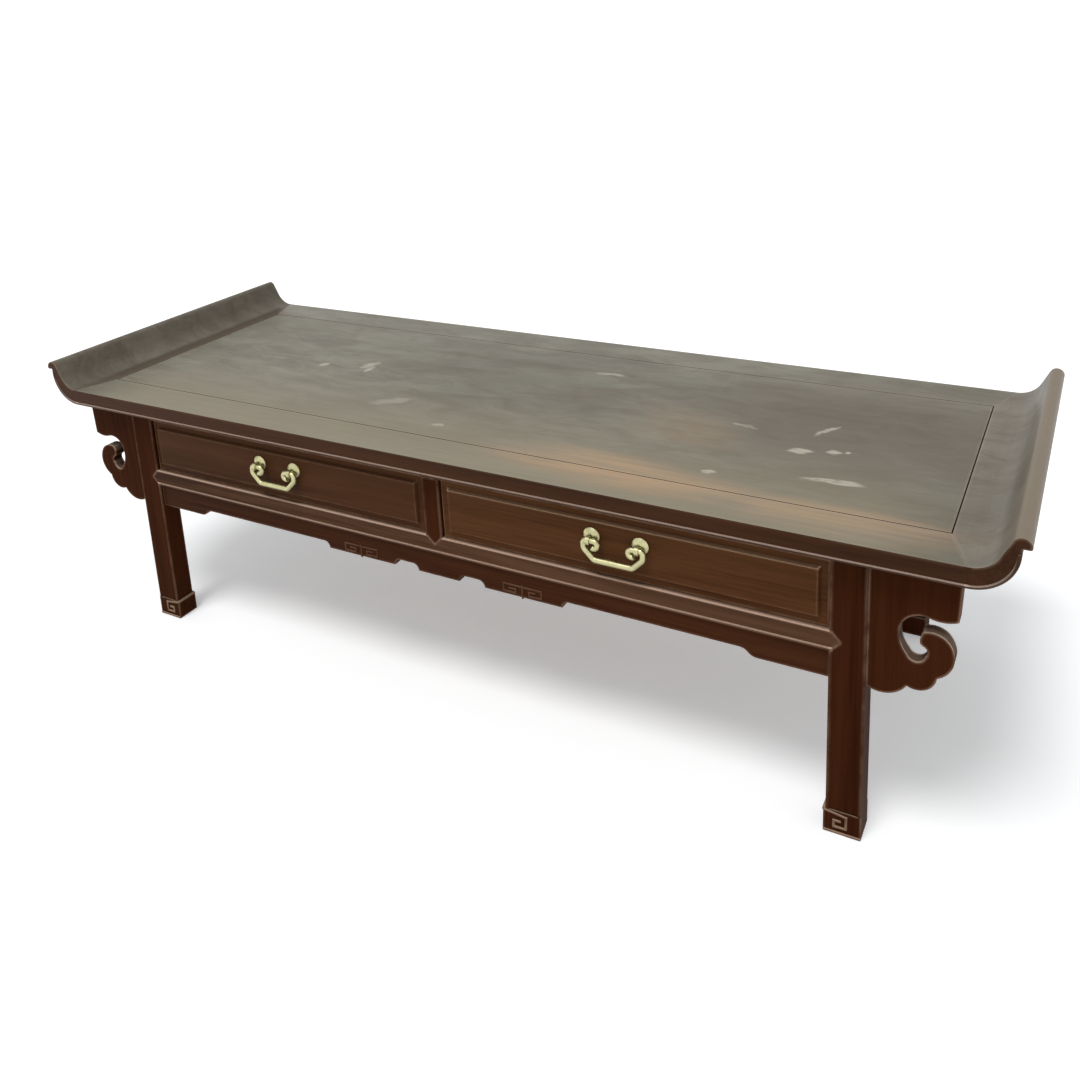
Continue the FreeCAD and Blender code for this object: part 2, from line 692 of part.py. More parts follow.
def low_rail(name, end):
    """Long rail under the drawers, or across the back."""
    body = new_body(name)
    section = new_sketch(body, "section", "YZ_Plane")
    beaded_section(section, end, LEG_FACE, RAIL_BACK)
    pad(body, section, f"2 * {LEG_IN} + rail_height", symmetric=True)
    for word, side in SIDES:
        shape_rail_point(body, word, side, end)
        add_block(body, f"{word}_tenon", rail_tenon(side, end, RAIL_LOW, DRAWER_FLOOR))
        cut_seat(body, f"{word}_runner_seat", runner_tenons(span(side, *RUNNER_ACROSS)))
    cut_seat(body, "bearer_seat", runner_tenons(BEARER_ACROSS))
    cut_seat(body, "divider_seat", divider_tenons(end))
    cut_point_seat(body, "divider_point_seat", end, "0", DRAWER_FLOOR, "divider_width")
    if end > 0:
        for word, side in SIDES:
            cut_seat(body, f"{word}_board_seat", rear_board(side))
    return body


def shape_rail_point(body, word, side, end):
    """Shapes one end of a long rail: square behind, and at its face a point mitred into the leg."""
    across = span(end, RAIL_BACK, LEG_FACE)
    diagonal = "(2 * rail_height)"
    start = flip(side, LEG_IN) if side > 0 else f"{flip(side, LEG_IN)} - {diagonal}"
    for level_word, level in (("upper", DRAWER_FLOOR), ("lower", RAIL_LOW)):
        cut_diamond(body, f"{word}_{level_word}_mitre", (start, level), diagonal, across)
    behind = body.newObject("PartDesign::SubtractiveBox", f"{body.Name}_{word}_shoulder")
    shape_box(behind, (
        span(side, LEG_IN, f"{LEG_IN} + rail_height"),
        span(end, RAIL_BACK, POINT_BACK),
        (RAIL_LOW, DRAWER_FLOOR),
    ), "0")


def top_rail(name, end):
    """Long rail over the drawers, or across the top of the back."""
    body = new_body(name)
    add_block(body, "bar", (
        both_ways(LEG_IN),
        span(end, RAIL_BACK, LEG_FLAT),
        (TOP_RAIL_LOW, UNDERSIDE),
    ))
    for word, side in SIDES:
        add_block(body, f"{word}_tenon", rail_tenon(side, end, TOP_RAIL_LOW, UNDERSIDE))
    cut_seat(body, "divider_seat", divider_tenons(end))
    if end > 0:
        for word, side in SIDES:
            cut_seat(body, f"{word}_board_seat", rear_board(side))
    return body


def divider(name, end):
    """Upright between the drawers, or between the boards of the back, with a pointed foot."""
    body = new_body(name)
    section = new_sketch(body, "section", "XY_Plane", f"{DRAWER_FLOOR} - divider_width / 2")
    edge = "divider_width / 2"
    flat = flip(end, LEG_FLAT)
    ridge = flip(end, LEG_FACE)
    rear = flip(end, RAIL_BACK)
    draw(section, (f"-{edge}", rear), (
        ((edge, rear),),
        ((edge, flat),),
        ((f"{edge} - bead_width / 2", ridge), (f"{edge} - bead_width", flat)),
        ((f"-({edge} - bead_width)", flat),),
        ((f"-({edge} - bead_width / 2)", ridge), (f"-{edge}", flat)),
        ((f"-{edge}", rear),),
    ))
    pad(body, section, "drawer_opening + divider_width / 2")
    for word, sign in SIDES:
        corner = (f"{flip(sign, edge)} - divider_width", f"{DRAWER_FLOOR} - divider_width")
        cut_diamond(body, f"{word}_mitre", corner, "2 * divider_width", span(end, RAIL_BACK, LEG_FACE))
    behind = body.newObject("PartDesign::SubtractiveBox", f"{name}_shoulder")
    shape_box(behind, (
        both_ways(edge),
        span(end, RAIL_BACK, POINT_BACK),
        (f"{DRAWER_FLOOR} - divider_width", DRAWER_FLOOR),
    ), "0")
    add_block(body, "tenons", divider_tenons(end))
    if end > 0:
        for word, side in SIDES:
            cut_seat(body, f"{word}_board_seat", rear_board(side))
    return body


def end_rail(name, side, low, high, beaded):
    """Rail between the legs of one end."""
    body = new_body(name)
    if beaded:
        section = new_sketch(body, "section", "XZ_Plane")
        beaded_section(section, side, END_FACE, END_BACK)
        pad(body, section, f"2 * {LEG_BACK}", symmetric=True)
    else:
        add_block(body, "bar", (span(side, END_BACK, END_FACE), both_ways(LEG_BACK), (low, high)))
    for word, end in ENDS:
        add_block(body, f"{word}_tenon", end_rail_tenon(side, end, low, high))
    cut_seat(body, "board_seat", end_board(side))
    return body


# Aprons

def ogee(far, near, high, low):
    """Gives the two arcs of the curve from the shallow part of an apron down to its deep end."""
    middle = f"(({far}) + ({near})) / 2"
    level = f"(({high}) + ({low})) / 2"
    return (
        (
            (f"({far}) * 0.72 + ({near}) * 0.28", f"({high}) * 0.88 + ({low}) * 0.12"),
            (middle, level),
        ),
        (
            (f"({far}) * 0.28 + ({near}) * 0.72", f"({high}) * 0.12 + ({low}) * 0.88"),
            (near, low),
        ),
    )


def cove_down(edge):
    """Gives the hollow from the shallow part of the apron down to the edge of a block."""
    way = (f"{edge} - {ARC_NEAR} * apron_rise", f"{APRON_LOW} + {ARC_FAR} * apron_rise")
    return (way, (edge, APRON_LOW))


def cove_up(edge):
    """Gives the hollow from the edge of a block up to the shallow part of the apron."""
    way = (f"{edge} + {ARC_NEAR} * apron_rise", f"{APRON_LOW} + {ARC_FAR} * apron_rise")
    return (way, (f"{edge} + apron_rise", APRON_HIGH))


def apron_run(stop, shoulder, blocks):
    """Gives the lower edge of half an apron, from its middle out to the leg, and its end."""
    near = f"({stop} - {shoulder})"
    far = f"({near} - ogee_length)"
    steps = []
    for begin, finish in blocks:
        if begin:
            steps.append(((f"{begin} - apron_rise", APRON_HIGH),))
            steps.append(cove_down(begin))
        steps.append(((finish, APRON_LOW),))
        steps.append(cove_up(finish))
    steps.append(((far, APRON_HIGH),))
    steps.extend(ogee(far, near, APRON_HIGH, APRON_LOW))
    steps.append(((stop, APRON_LOW),))
    return steps


def draw_apron(sketch, stop, shoulder, blocks=()):
    """Draws an apron, even about its middle."""
    half = apron_run(stop, shoulder, blocks)
    begin = ("0", APRON_LOW if blocks else APRON_HIGH)
    steps = list(half)
    steps.append(((stop, RAIL_LOW),))
    steps.append(((f"-({stop})", RAIL_LOW),))
    places = [begin] + [step[-1] for step in half]
    steps.append((mirrored(places[-1]),))
    for step, back in zip(reversed(half), reversed(places[:-1])):
        steps.append(tuple(mirrored(place) for place in step[:-1]) + (mirrored(back),))
    draw(sketch, begin, steps)


def mirrored(place):
    """Gives the same place on the other half of an apron."""
    return (f"-({place[0]})" if place[0] != "0" else "0", place[1])


def long_apron(name, end, blocks):
    """Apron under the rail of the front or the back."""
    body = new_body(name)
    face = f"({LEG_FACE} - apron_setback)"
    upper = face if end > 0 else f"(apron_thickness - {face})"
    outline = new_sketch(body, "outline", "XZ_Plane", f"-({upper})")
    draw_apron(outline, LEG_IN, "shoulder_length", blocks)
    pad(body, outline, "apron_thickness")
    for word, side in SIDES:
        add_block(body, f"{word}_tongue", apron_tongue(side, end))
    return body


def end_apron(name, side):
    """Apron under the rail of one end."""
    body = new_body(name)
    face = f"({END_FACE} - apron_setback)"
    lower = f"({face} - apron_thickness)" if side > 0 else f"-({face})"
    outline = new_sketch(body, "outline", "YZ_Plane", lower)
    draw_apron(outline, LEG_BACK, "end_shoulder")
    pad(body, outline, "apron_thickness")
    for word, end in ENDS:
        add_block(body, f"{word}_tongue", end_apron_tongue(side, end))
    return body


# Spandrels

# Outline of a spandrel as shares of its reach and its drop, from its upper corner at the leg
SPANDREL_ARM = ((1, 0), (0.97, 0.34))
SPANDREL_ARCS = (
    ((0.84, 0.364), (0.68, 0.357)),     # underside of the arm
    ((0.49, 0.363), (0.365, 0.446)),    # crown of the eye
    ((0.352, 0.554), (0.44, 0.667)),    # side of the eye next to the leg
    ((0.54, 0.705), (0.635, 0.655)),    # floor of the eye
    ((0.66, 0.613), (0.63, 0.58)),      # inside of the hook
    ((0.605, 0.572), (0.575, 0.557)),   # tip of the hook
    ((0.578, 0.506), (0.61, 0.47)),     # nose of the hook
    ((0.72, 0.461), (0.84, 0.488)),     # crown of the scroll
    ((0.945, 0.622), (0.77, 0.792)),    # outer lobe
    ((0.65, 0.9), (0.45, 0.902)),       # middle lobe
    ((0.22, 0.998), (0, 0.976)),        # lobe next to the leg
)


def spandrel(name, side, end):
    """Board that fills the corner between leg and top, sawn to a cloud scroll with an open eye."""
    body = new_body(name)
    upper = SPANDREL_FACE if end > 0 else f"(spandrel_thickness - {SPANDREL_FACE})"
    outline = new_sketch(body, "outline", "XZ_Plane", f"-({upper})")

    def at(share):
        return (
            flip(side, f"{LEG_OUT} + spandrel_reach * {share[0]}"),
            f"{UNDERSIDE} - spandrel_drop * {share[1]}",
        )

    steps = [(at(place),) for place in SPANDREL_ARM]
    steps += [(at(way), at(finish)) for way, finish in SPANDREL_ARCS]
    steps.append((at((0, 0)),))
    draw(outline, at((0, 0)), steps)
    pad(body, outline, "spandrel_thickness")
    add_block(body, "tenon", spandrel_tenon(side, end))
    return body


# Drawers and what carries them

def runner(name, across):
    """Strip between the front and rear rails on which drawer sides slide."""
    body = new_body(name)
    add_block(body, "bar", (across, both_ways(RAIL_BACK), (f"{DRAWER_FLOOR} - runner_height", DRAWER_FLOOR)))
    add_block(body, "tenons", runner_tenons(across))
    return body


def drawer_side_across(side, outer):
    """Gives where a side of a drawer lies across the table, nearer the leg or nearer the middle."""
    if outer:
        return span(side, f"{DRAWER_OUT} - side_inset - side_thickness", f"{DRAWER_OUT} - side_inset")
    return span(side, f"{DRAWER_IN} + side_inset", f"{DRAWER_IN} + side_inset + side_thickness")


def drawer_side_box(side, outer):
    """Gives the bounds of a side of a drawer."""
    return (
        drawer_side_across(side, outer),
        (f"-({FRONT_BACK} + side_housing)", DRAWER_REAR),
        (SIDE_LOW, f"{SIDE_LOW} + side_height"),
    )


def drawer_bottom_box(side):
    """Gives the bounds of a drawer's bottom, in the grooves of the front and the sides."""
    return (
        span(
            side,
            f"{DRAWER_IN} + side_inset + side_thickness - bottom_groove",
            f"{DRAWER_OUT} - side_inset - side_thickness + bottom_groove",
        ),
        (f"-({FRONT_BACK} + bottom_groove)", DRAWER_REAR),
        (BOTTOM_LOW, f"{BOTTOM_LOW} + bottom_thickness"),
    )


def stem_hole(body, name, place):
    """Bores the hole of a handle post through a drawer front."""
    hole = body.newObject("PartDesign::SubtractiveCylinder", f"{body.Name}_{name}")
    hole.Placement = FreeCAD.Placement(FreeCAD.Vector(), FreeCAD.Rotation(FreeCAD.Vector(1, 0, 0), -90))
    bind(hole, "Radius", "stem_radius + turning_clearance")
    bind(hole, "Height", f"{FIELD_FACE} - {FRONT_BACK}")
    bind(hole, "Placement.Base.x", place)
    bind(hole, "Placement.Base.y", f"-{FIELD_FACE}")
    bind(hole, "Placement.Base.z", HANDLE_LEVEL)
    return hole


def drawer_front(name, side):
    """Front of a drawer with a raised, bevelled field."""
    body = new_body(name)
    across = span(side, DRAWER_IN, DRAWER_OUT)
    low = f"({DRAWER_FLOOR} + drawer_gap)"
    high = f"({TOP_RAIL_LOW} - drawer_gap)"
    add_block(body, "slab", (across, (f"-{BORDER_FACE}", f"-{FRONT_BACK}"), (low, high)))
    field = body.newObject("PartDesign::AdditiveWedge", f"{name}_field")
    bind(field, "Ymin", f"-{FIELD_FACE}")
    bind(field, "Ymax", f"-{BORDER_FACE}")
    for front, rear, edge, inward in (
        ("Xmin", "X2min", across[0], "+"), ("Xmax", "X2max", across[1], "-"),
        ("Zmin", "Z2min", low, "+"), ("Zmax", "Z2max", high, "-"),
    ):
        bind(field, front, f"{edge} {inward} (field_margin + field_bevel)")
        bind(field, rear, f"{edge} {inward} field_margin")
    for outer in (False, True):
        cut_seat(body, "outer_seat" if outer else "inner_seat", drawer_side_box(side, outer))
    cut_seat(body, "bottom_groove", drawer_bottom_box(side))
    for word, sign in SIDES:
        stem_hole(body, f"{word}_hole", post_place(side, sign))
    return body


def drawer_side(name, side, outer):
    """Side of a drawer, grooved for the bottom."""
    body = new_body(name)
    add_block(body, "board", drawer_side_box(side, outer))
    cut_seat(body, "bottom_groove", drawer_bottom_box(side))
    return body


def drawer_back_box(side):
    """Gives the bounds of a drawer's back, which stands on the bottom between the sides."""
    return (
        span(
            side,
            f"{DRAWER_IN} + side_inset + side_thickness",
            f"{DRAWER_OUT} - side_inset - side_thickness",
        ),
        (f"{DRAWER_REAR} - side_thickness", DRAWER_REAR),
        (f"{BOTTOM_LOW} + bottom_thickness", f"{SIDE_LOW} + side_height"),
    )


# Handles

def post_place(side, sign):
    """Gives where a post stands across the table."""
    return f"{flip(side, HANDLE_MIDDLE)} + {flip(sign, 'post_spacing / 2')}"


def handle_post(name, side, sign):
    """Turned post: a stem under a domed rosette, with an eye for the bail in front of the dome."""
    body = new_body(name)
    profile = new_sketch(body, "profile", "XY_Plane")
    tail = f"{FIELD_FACE} - {FRONT_BACK} + stem_tail"
    crown = "(rosette_height - rosette_rim)"
    ball = f"((rosette_radius ^ 2 + {crown} ^ 2) / (2 * {crown}))"
    halfway = f"-(rosette_height - {ball} + sqrt({ball} ^ 2 - rosette_radius ^ 2 / 4))"
    draw(profile, ("0", tail), (
        (("stem_radius", tail),),
        (("stem_radius", "0"),),
        (("rosette_radius", "0"),),
        (("rosette_radius", "-rosette_rim"),),
        (("rosette_radius / 2", halfway), ("0", "-rosette_height")),
        (("0", tail),),
    ))
    turned = body.newObject("PartDesign::Revolution", f"{name}_turned")
    turned.Profile = profile
    turned.ReferenceAxis = (profile, ["V_Axis"])
    turned.Angle = 360
    for kind, radius in (("Additive", f"{EYE_BORE} + eye_wall"), ("Subtractive", EYE_BORE)):
        barrel = body.newObject(f"PartDesign::{kind}Cylinder", f"{name}_{kind.lower()}_eye")
        barrel.Placement = FreeCAD.Placement(FreeCAD.Vector(), FreeCAD.Rotation(FreeCAD.Vector(0, 1, 0), 90))
        bind(barrel, "Radius", radius)
        bind(barrel, "Height", "eye_length")
        bind(barrel, "Placement.Base.x", "-eye_length / 2")
        bind(barrel, "Placement.Base.y", f"-{PIVOT_REACH}")
        bind(barrel, "Placement.Base.z", "-pivot_drop")
    bind(body, "Placement.Base.x", post_place(side, sign))
    bind(body, "Placement.Base.y", f"-{FIELD_FACE}")
    bind(body, "Placement.Base.z", HANDLE_LEVEL)
    return body


def handle_nut(name, side, sign):
    """Six sided nut on the stem of a post, inside the drawer."""
    body = new_body(name)
    prism = body.newObject("PartDesign::AdditivePrism", f"{name}_prism")
    prism.Polygon = 6
    bind(prism, "Circumradius", "nut_radius")
    bind(prism, "Height", "nut_height")
    bore = body.newObject("PartDesign::SubtractiveCylinder", f"{name}_bore")
    bind(bore, "Radius", "stem_radius + turning_clearance")
    bind(bore, "Height", "nut_height")
    body.Placement = FreeCAD.Placement(FreeCAD.Vector(), FreeCAD.Rotation(FreeCAD.Vector(1, 0, 0), -90))
    bind(body, "Placement.Base.x", post_place(side, sign))
    bind(body, "Placement.Base.y", f"-{FRONT_BACK}")
    bind(body, "Placement.Base.z", HANDLE_LEVEL)
    return body


def group(name, bodies):
    """Puts like pieces, each a solid of its own, into one node."""
    compound = DOC.addObject("Part::Compound", name)
    compound.Label = name
    compound.Links = bodies
    return compound


def bail(name, side):
    """Bail: a rod bent into a grip with slanted corners, whose ends pass the eyes and curl under."""
    body = new_body(name)
    elbow = "(bail_radius + elbow_bend)"
    turn = "(bail_radius + corner_bend)"
    curl = "(bail_radius + curl_bend)"
    arm = f"(post_spacing / 2 + eye_length / 2 + bail_play + {elbow})"
    corner = f"({arm} - bail_slant)"
    bend = f"({turn} * {BEND_TANGENT})"
    slant = f"({bend} * {ARC_FAR})"
    inner = "(post_spacing / 2 - eye_length / 2 - curl_offset)"
    # The bend's arc leaves its corner by these shares of its radius
    along = 0.0315
    across = 0.0761
    path = new_sketch(body, "path", "XZ_Plane")
    draw(path, ("0", "-bail_drop"), (
        ((f"{corner} - {bend}", "-bail_drop"),),
        (
            (f"{corner} - {turn} * {along}", f"-bail_drop + {turn} * {across}"),
            (f"{corner} + {slant}", f"-bail_drop + {slant}"),
        ),
        ((f"{arm} - {slant}", f"-bail_drop + bail_slant - {slant}"),),
        (
            (f"{arm} - {turn} * {across}", f"-bail_drop + bail_slant + {turn} * {along}"),
            (arm, f"-bail_drop + bail_slant + {bend}"),
        ),
        ((arm, f"-{elbow}"),),
        (
            (f"{arm} - {elbow} * {ARC_NEAR}", f"-{elbow} * {ARC_NEAR}"),
            (f"{arm} - {elbow}", "0"),
        ),
        ((inner, "0"),),
        ((f"{inner} - {curl}", f"-{curl}"), (inner, f"-2 * {curl}")),
        (
            (f"{inner} + {curl} * sin(15deg)", f"-{curl} - {curl} * cos(15deg)"),
            (f"{inner} + {curl} * sin(30deg)", f"-{curl} - {curl} * cos(30deg)"),
        ),
    ), closed=False)
    rod = new_sketch(body, "rod", "YZ_Plane")
    middle = vector(("0", "-bail_drop"))
    ring = rod.addGeometry(Part.Circle(middle, FreeCAD.Vector(0, 0, 1), worth("bail_radius")), False)
    pin(rod, ring, 3, ("0", "-bail_drop"))
    rule = Sketcher.Constraint("Radius", ring, worth("bail_radius"))
    bind(rod, f"Constraints[{rod.addConstraint(rule)}]", "bail_radius")
    sweep = body.newObject("PartDesign::AdditivePipe", f"{name}_sweep")
    sweep.Profile = rod
    sweep.Spine = path
    DOC.recompute()
    half = body.newObject("PartDesign::Mirrored", f"{name}_other_half")
    half.Originals = [sweep]
    half.MirrorPlane = (origin_plane(body, "YZ_Plane"), [""])
    body.Tip = half
    bind(body, "Placement.Base.x", flip(side, HANDLE_MIDDLE))
    bind(body, "Placement.Base.y", f"-({FIELD_FACE} + {PIVOT_REACH})")
    bind(body, "Placement.Base.z", f"{HANDLE_LEVEL} - pivot_drop")
    return body


# Assembly

def make_top():
    """Frame, panel and braces of the top."""
    pieces = [long_member(f"top_frame_{word}", end) for word, end in ENDS]
    pieces += [end_member(f"top_end_{word}", side) for word, side in SIDES]
    pieces.append(top_panel("top_panel"))
    for word, number in (("left", -1), ("centre", 0), ("right", 1)):
        pieces.append(batten(f"top_batten_{word}", f"{number} * {BATTEN_PLACE}"))
    return pieces


def make_base():
    """Legs, rails, dividers, boards, aprons and spandrels."""
    middle_drop = "(drop_width / 2)"
    fret = f"({middle_drop} + fret_gap)"
    front_blocks = ((None, middle_drop), (fret, f"({fret} + fret_length)"))
    pieces = []
    for word, end in ENDS:
        pieces += [leg(f"leg_{word}_{hand}", side, end) for hand, side in SIDES]
        pieces += [spandrel(f"spandrel_{word}_{hand}", side, end) for hand, side in SIDES]
        pieces.append(low_rail(f"{word}_low_rail", end))
        pieces.append(top_rail(f"{word}_top_rail", end))
        pieces.append(divider(f"{word}_divider", end))
        pieces.append(long_apron(f"{word}_apron", end, front_blocks if end < 0 else ()))
    for hand, side in SIDES:
        pieces.append(end_rail(f"end_low_rail_{hand}", side, RAIL_LOW, DRAWER_FLOOR, True))
        pieces.append(end_rail(f"end_top_rail_{hand}", side, TOP_RAIL_LOW, UNDERSIDE, False))
        pieces.append(end_apron(f"end_apron_{hand}", side))
        pieces.append(board(f"end_panel_{hand}", end_board(side)))
        pieces.append(board(f"rear_panel_{hand}", rear_board(side)))
        pieces.append(runner(f"drawer_runner_{hand}", span(side, *RUNNER_ACROSS)))
    pieces.append(runner("centre_bearer", BEARER_ACROSS))
    pieces.append(board("centre_guide", (
        both_ways("divider_width / 2"),
        both_ways(RAIL_BACK),
        (DRAWER_FLOOR, f"{DRAWER_FLOOR} + guide_height"),
    )))
    return pieces


def make_drawer(hand, side):
    """One drawer with its handle."""
    pieces = [drawer_front(f"{hand}_drawer_front", side)]
    for outer in (False, True):
        word = "outer" if outer else "inner"
        pieces.append(drawer_side(f"{hand}_drawer_{word}_side", side, outer))
    pieces.append(board(f"{hand}_drawer_back", drawer_back_box(side)))
    pieces.append(board(f"{hand}_drawer_bottom", drawer_bottom_box(side)))
    posts = [handle_post(f"{hand}_post_{word}", side, sign) for word, sign in SIDES]
    nuts = [handle_nut(f"{hand}_nut_{word}", side, sign) for word, sign in SIDES]
    pieces.append(group(f"{hand}_handle_posts", posts))
    pieces.append(group(f"{hand}_handle_nuts", nuts))
    pieces.append(bail(f"{hand}_bail", side))
    return pieces


def check(pieces):
    """Stops if an object failed to build, or if a piece has no valid shape."""
    for thing in DOC.Objects:
        if {"Invalid", "Error"} & set(thing.State):
            raise RuntimeError(f"{thing.Label} did not build: {thing.State}")
    for piece in pieces:
        if piece.Shape.isNull() or not piece.Shape.isValid():
            raise RuntimeError(f"{piece.Label} has no valid shape")


def main():
    """Builds the table and writes each piece to a file of its own."""
    write_sheet()
    pieces = make_top() + make_base()
    for hand, side in SIDES:
        pieces += make_drawer(hand, side)
    DOC.recompute()
    check(pieces)
    os.makedirs("parts", exist_ok=True)
    for piece in pieces:
        piece.Shape.exportStep(f"parts/{piece.Label}.step")
        print(piece.Label, len(piece.Shape.Solids), round(piece.Shape.Volume / 1000, 2), "cm3")


main()
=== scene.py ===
"""Looks of a low hardwood coffee table with everted ends, two drawers and brass bail pulls.

Metres, in the frame of the solids: X runs along the table, the front faces -Y and Z is up.
"""
import json
import logging
import math
from dataclasses import dataclass, replace
from enum import Enum
from typing import Union

import bmesh
import bpy
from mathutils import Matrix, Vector


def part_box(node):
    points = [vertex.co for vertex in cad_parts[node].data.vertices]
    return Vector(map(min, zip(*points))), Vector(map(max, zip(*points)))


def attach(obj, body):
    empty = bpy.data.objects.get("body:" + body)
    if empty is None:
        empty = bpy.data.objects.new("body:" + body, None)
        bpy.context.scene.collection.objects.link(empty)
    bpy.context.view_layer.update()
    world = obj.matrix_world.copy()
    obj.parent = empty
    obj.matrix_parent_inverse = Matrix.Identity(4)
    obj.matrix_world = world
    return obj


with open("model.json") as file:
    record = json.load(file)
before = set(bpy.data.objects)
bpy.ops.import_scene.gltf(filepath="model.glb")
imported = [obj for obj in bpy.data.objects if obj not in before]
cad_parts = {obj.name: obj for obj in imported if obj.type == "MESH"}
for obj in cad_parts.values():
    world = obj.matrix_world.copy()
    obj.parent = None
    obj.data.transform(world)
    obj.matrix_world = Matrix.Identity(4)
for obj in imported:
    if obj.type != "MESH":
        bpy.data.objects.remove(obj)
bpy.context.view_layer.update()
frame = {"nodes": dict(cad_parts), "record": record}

LOG = logging.getLogger("coffee_table")
Colour = tuple[float, float, float, float]
Triple = tuple[float, float, float]
Band = tuple[float, float]
Socket = bpy.types.NodeSocket
Source = Union[Socket, float, Colour, Triple]

WHITE: Colour = (1.0, 1.0, 1.0, 1.0)
ORIGIN: Triple = (0.0, 0.0, 0.0)
NOISE_MIDDLE: Triple = (0.5, 0.5, 0.5)


class Fibre(Enum):
    """Direction in which the fibres of a piece of wood run."""

    LENGTHWISE = (1.0, 0.0, 0.0)
    CROSSWISE = (0.0, 1.0, 0.0)
    UPRIGHT = (0.0, 0.0, 1.0)


class Side(Enum):
    """Half of the table on which a piece lies, as somebody facing the drawers sees it."""

    LEFT = -1
    RIGHT = 1


class End(Enum):
    """Long side of the table on which a piece lies."""

    FRONT = -1
    REAR = 1


class Effect(Enum):
    """Shader groups that several finishes share."""

    GRAIN = "wood_grain"
    WEAR = "edge_wear"
    SCUFFS = "scuffs"


@dataclass(frozen=True)
class Mark:
    """Worn place on the table top: an ellipse with a ragged edge, turned by some degrees."""

    x: float
    y: float
    half_length: float
    half_width: float
    turn: float = 0.0
    strength: float = 1.0


@dataclass(frozen=True, kw_only=True)
class GrainLayer:
    """One layer of a wood's grain: noise with so many repeats to a metre along and across the fibres."""

    output: str
    along: float
    across: float
    detail: float
    roughness: float
    distortion: float = 0.0
    low: float = 0.3
    high: float = 0.7


@dataclass(frozen=True, kw_only=True)
class Cloud:
    """Cloudy mask on the table top: noise that is drawn out along the table."""

    stretch: float
    scale: float
    detail: float
    roughness: float
    distortion: float = 0.0
    low: float
    high: float
    least: float = 0.0


@dataclass(frozen=True)
class Stray:
    """How noise moves the edges of marks about: its repeats to a metre and how far it goes."""

    scale: float
    amount: float
    detail: float = 4.0


GRAIN_LAYERS = (
    GrainLayer(output="Figure", along=1.1, across=11.0, detail=3.0, roughness=0.55, distortion=0.9),
    GrainLayer(output="Streaks", along=5.0, across=190.0, detail=4.0, roughness=0.6, distortion=0.25),
    GrainLayer(output="Pores", along=26.0, across=850.0, detail=1.5, roughness=0.5, low=0.58, high=0.74),
)
HAZE = Cloud(stretch=0.5, scale=4.0, detail=5.0, roughness=0.6, distortion=0.4, low=0.32, high=0.68)
MOTTLE = Cloud(stretch=0.4, scale=26.0, detail=7.0, roughness=0.72, distortion=0.6, low=0.36, high=0.66)
RAGGED = Cloud(stretch=0.3, scale=160.0, detail=4.0, roughness=0.7, low=0.34, high=0.52, least=0.35)
STREAKY = Cloud(stretch=0.12, scale=60.0, detail=4.0, roughness=0.6, low=0.3, high=0.6, least=0.45)
RUB_STRAY = Stray(90.0, 0.02)
PATCH_STRAY = Stray(9.0, 0.09)
STRAY_STRETCH = 0.3

# Share of its size over which a mark is at full strength, and the share at which it ends
RUB_CORE = 0.65
DULL_CORE = 0.2
WARM_CORE = 0.25
MARK_END = 1.15

# Rays that feel for edges and for their rounding
EDGE_SAMPLES = 6
EASE_SAMPLES = 4

# Where the masks of wear begin and where they are full, as a share of what is felt round a place
RUBBED_BAND = (0.07, 0.42)
EDGE_BAND = (0.05, 0.22)
HOLLOW_BAND = (0.1, 0.6)
# Noise that leaves rubbed edges patchy, and the least that it leaves
PATCHY_SCALE = 34.0
PATCHY_BAND = (0.32, 0.62)
LEAST_RUBBED = 0.3
# Upward part of a surface's normal where dust and a painted highlight lie, and where brass is painted
# darker on its underside
LEDGE_BAND = (0.03, 0.42)
UNDERSIDE_SHADE_BAND = (0.5, -0.6)

# Height of the flat of the top, and how far from the middle its mitred joints end
TOP_LEVEL = 0.405
MITRE_END = 0.702
# Where the masks of the top begin and where they are full, in metres
RIM_BAND = (0.258, 0.264)
RAISED_BAND = (TOP_LEVEL + 0.003, TOP_LEVEL + 0.01)
JOINT_BAND = (0.002, 0.006)
UPPER_BAND = (TOP_LEVEL - 0.02, TOP_LEVEL - 0.008)
INWARD_BAND = (0.71, 0.56)
FRONT_BAND = (0.0, -0.27)
# Painted light on the right half and the crest of its raised end; painted shade at the root of the left
# raised end, deepening towards the back
RIGHT_BAND = (-0.1, 0.1)
LEFT_BAND = (0.1, -0.1)
CREST_BAND = (TOP_LEVEL + 0.03, TOP_LEVEL + 0.043)
ROOT_BAND = (MITRE_END + 0.012, MITRE_END - 0.004)
DEEPENING_BAND = (-0.28, -0.14)

PALE_RUBS = (
    Mark(0.107, 0.123, 0.026, 0.006, 3.0, 0.8),
    Mark(0.466, -0.051, 0.016, 0.008, 20.0),
    Mark(0.508, -0.040, 0.010, 0.007),
    Mark(0.523, -0.035, 0.004, 0.005),
    Mark(0.484, 0.028, 0.027, 0.0045, 57.0, 0.8),
    Mark(0.527, -0.125, 0.038, 0.0065, 4.0),
    Mark(0.376, -0.155, 0.010, 0.0055, 5.0),
    Mark(0.373, 0.002, 0.024, 0.004, -12.0, 0.6),
    Mark(-0.301, 0.018, 0.021, 0.009, 70.0, 0.8),
    Mark(-0.290, 0.000, 0.015, 0.006, 85.0, 0.8),
    Mark(-0.381, -0.010, 0.009, 0.007, 40.0, 0.8),
    Mark(-0.162, -0.106, 0.036, 0.011, 35.0, 0.4),
    Mark(-0.041, -0.158, 0.011, 0.004, 5.0, 0.6),
)
# The first patch covers the right raised end: on the end wood its lighter colour is painted light there
DULL_PATCHES = (
    Mark(0.52, 0.06, 0.34, 0.22, 0.0, 0.85),
    Mark(0.12, 0.0, 0.12, 0.09, 10.0, 0.35),
    Mark(-0.2, 0.03, 0.1, 0.05, 15.0, 0.4),
    Mark(0.66, -0.215, 0.09, 0.06, 0.0, 0.8),
)
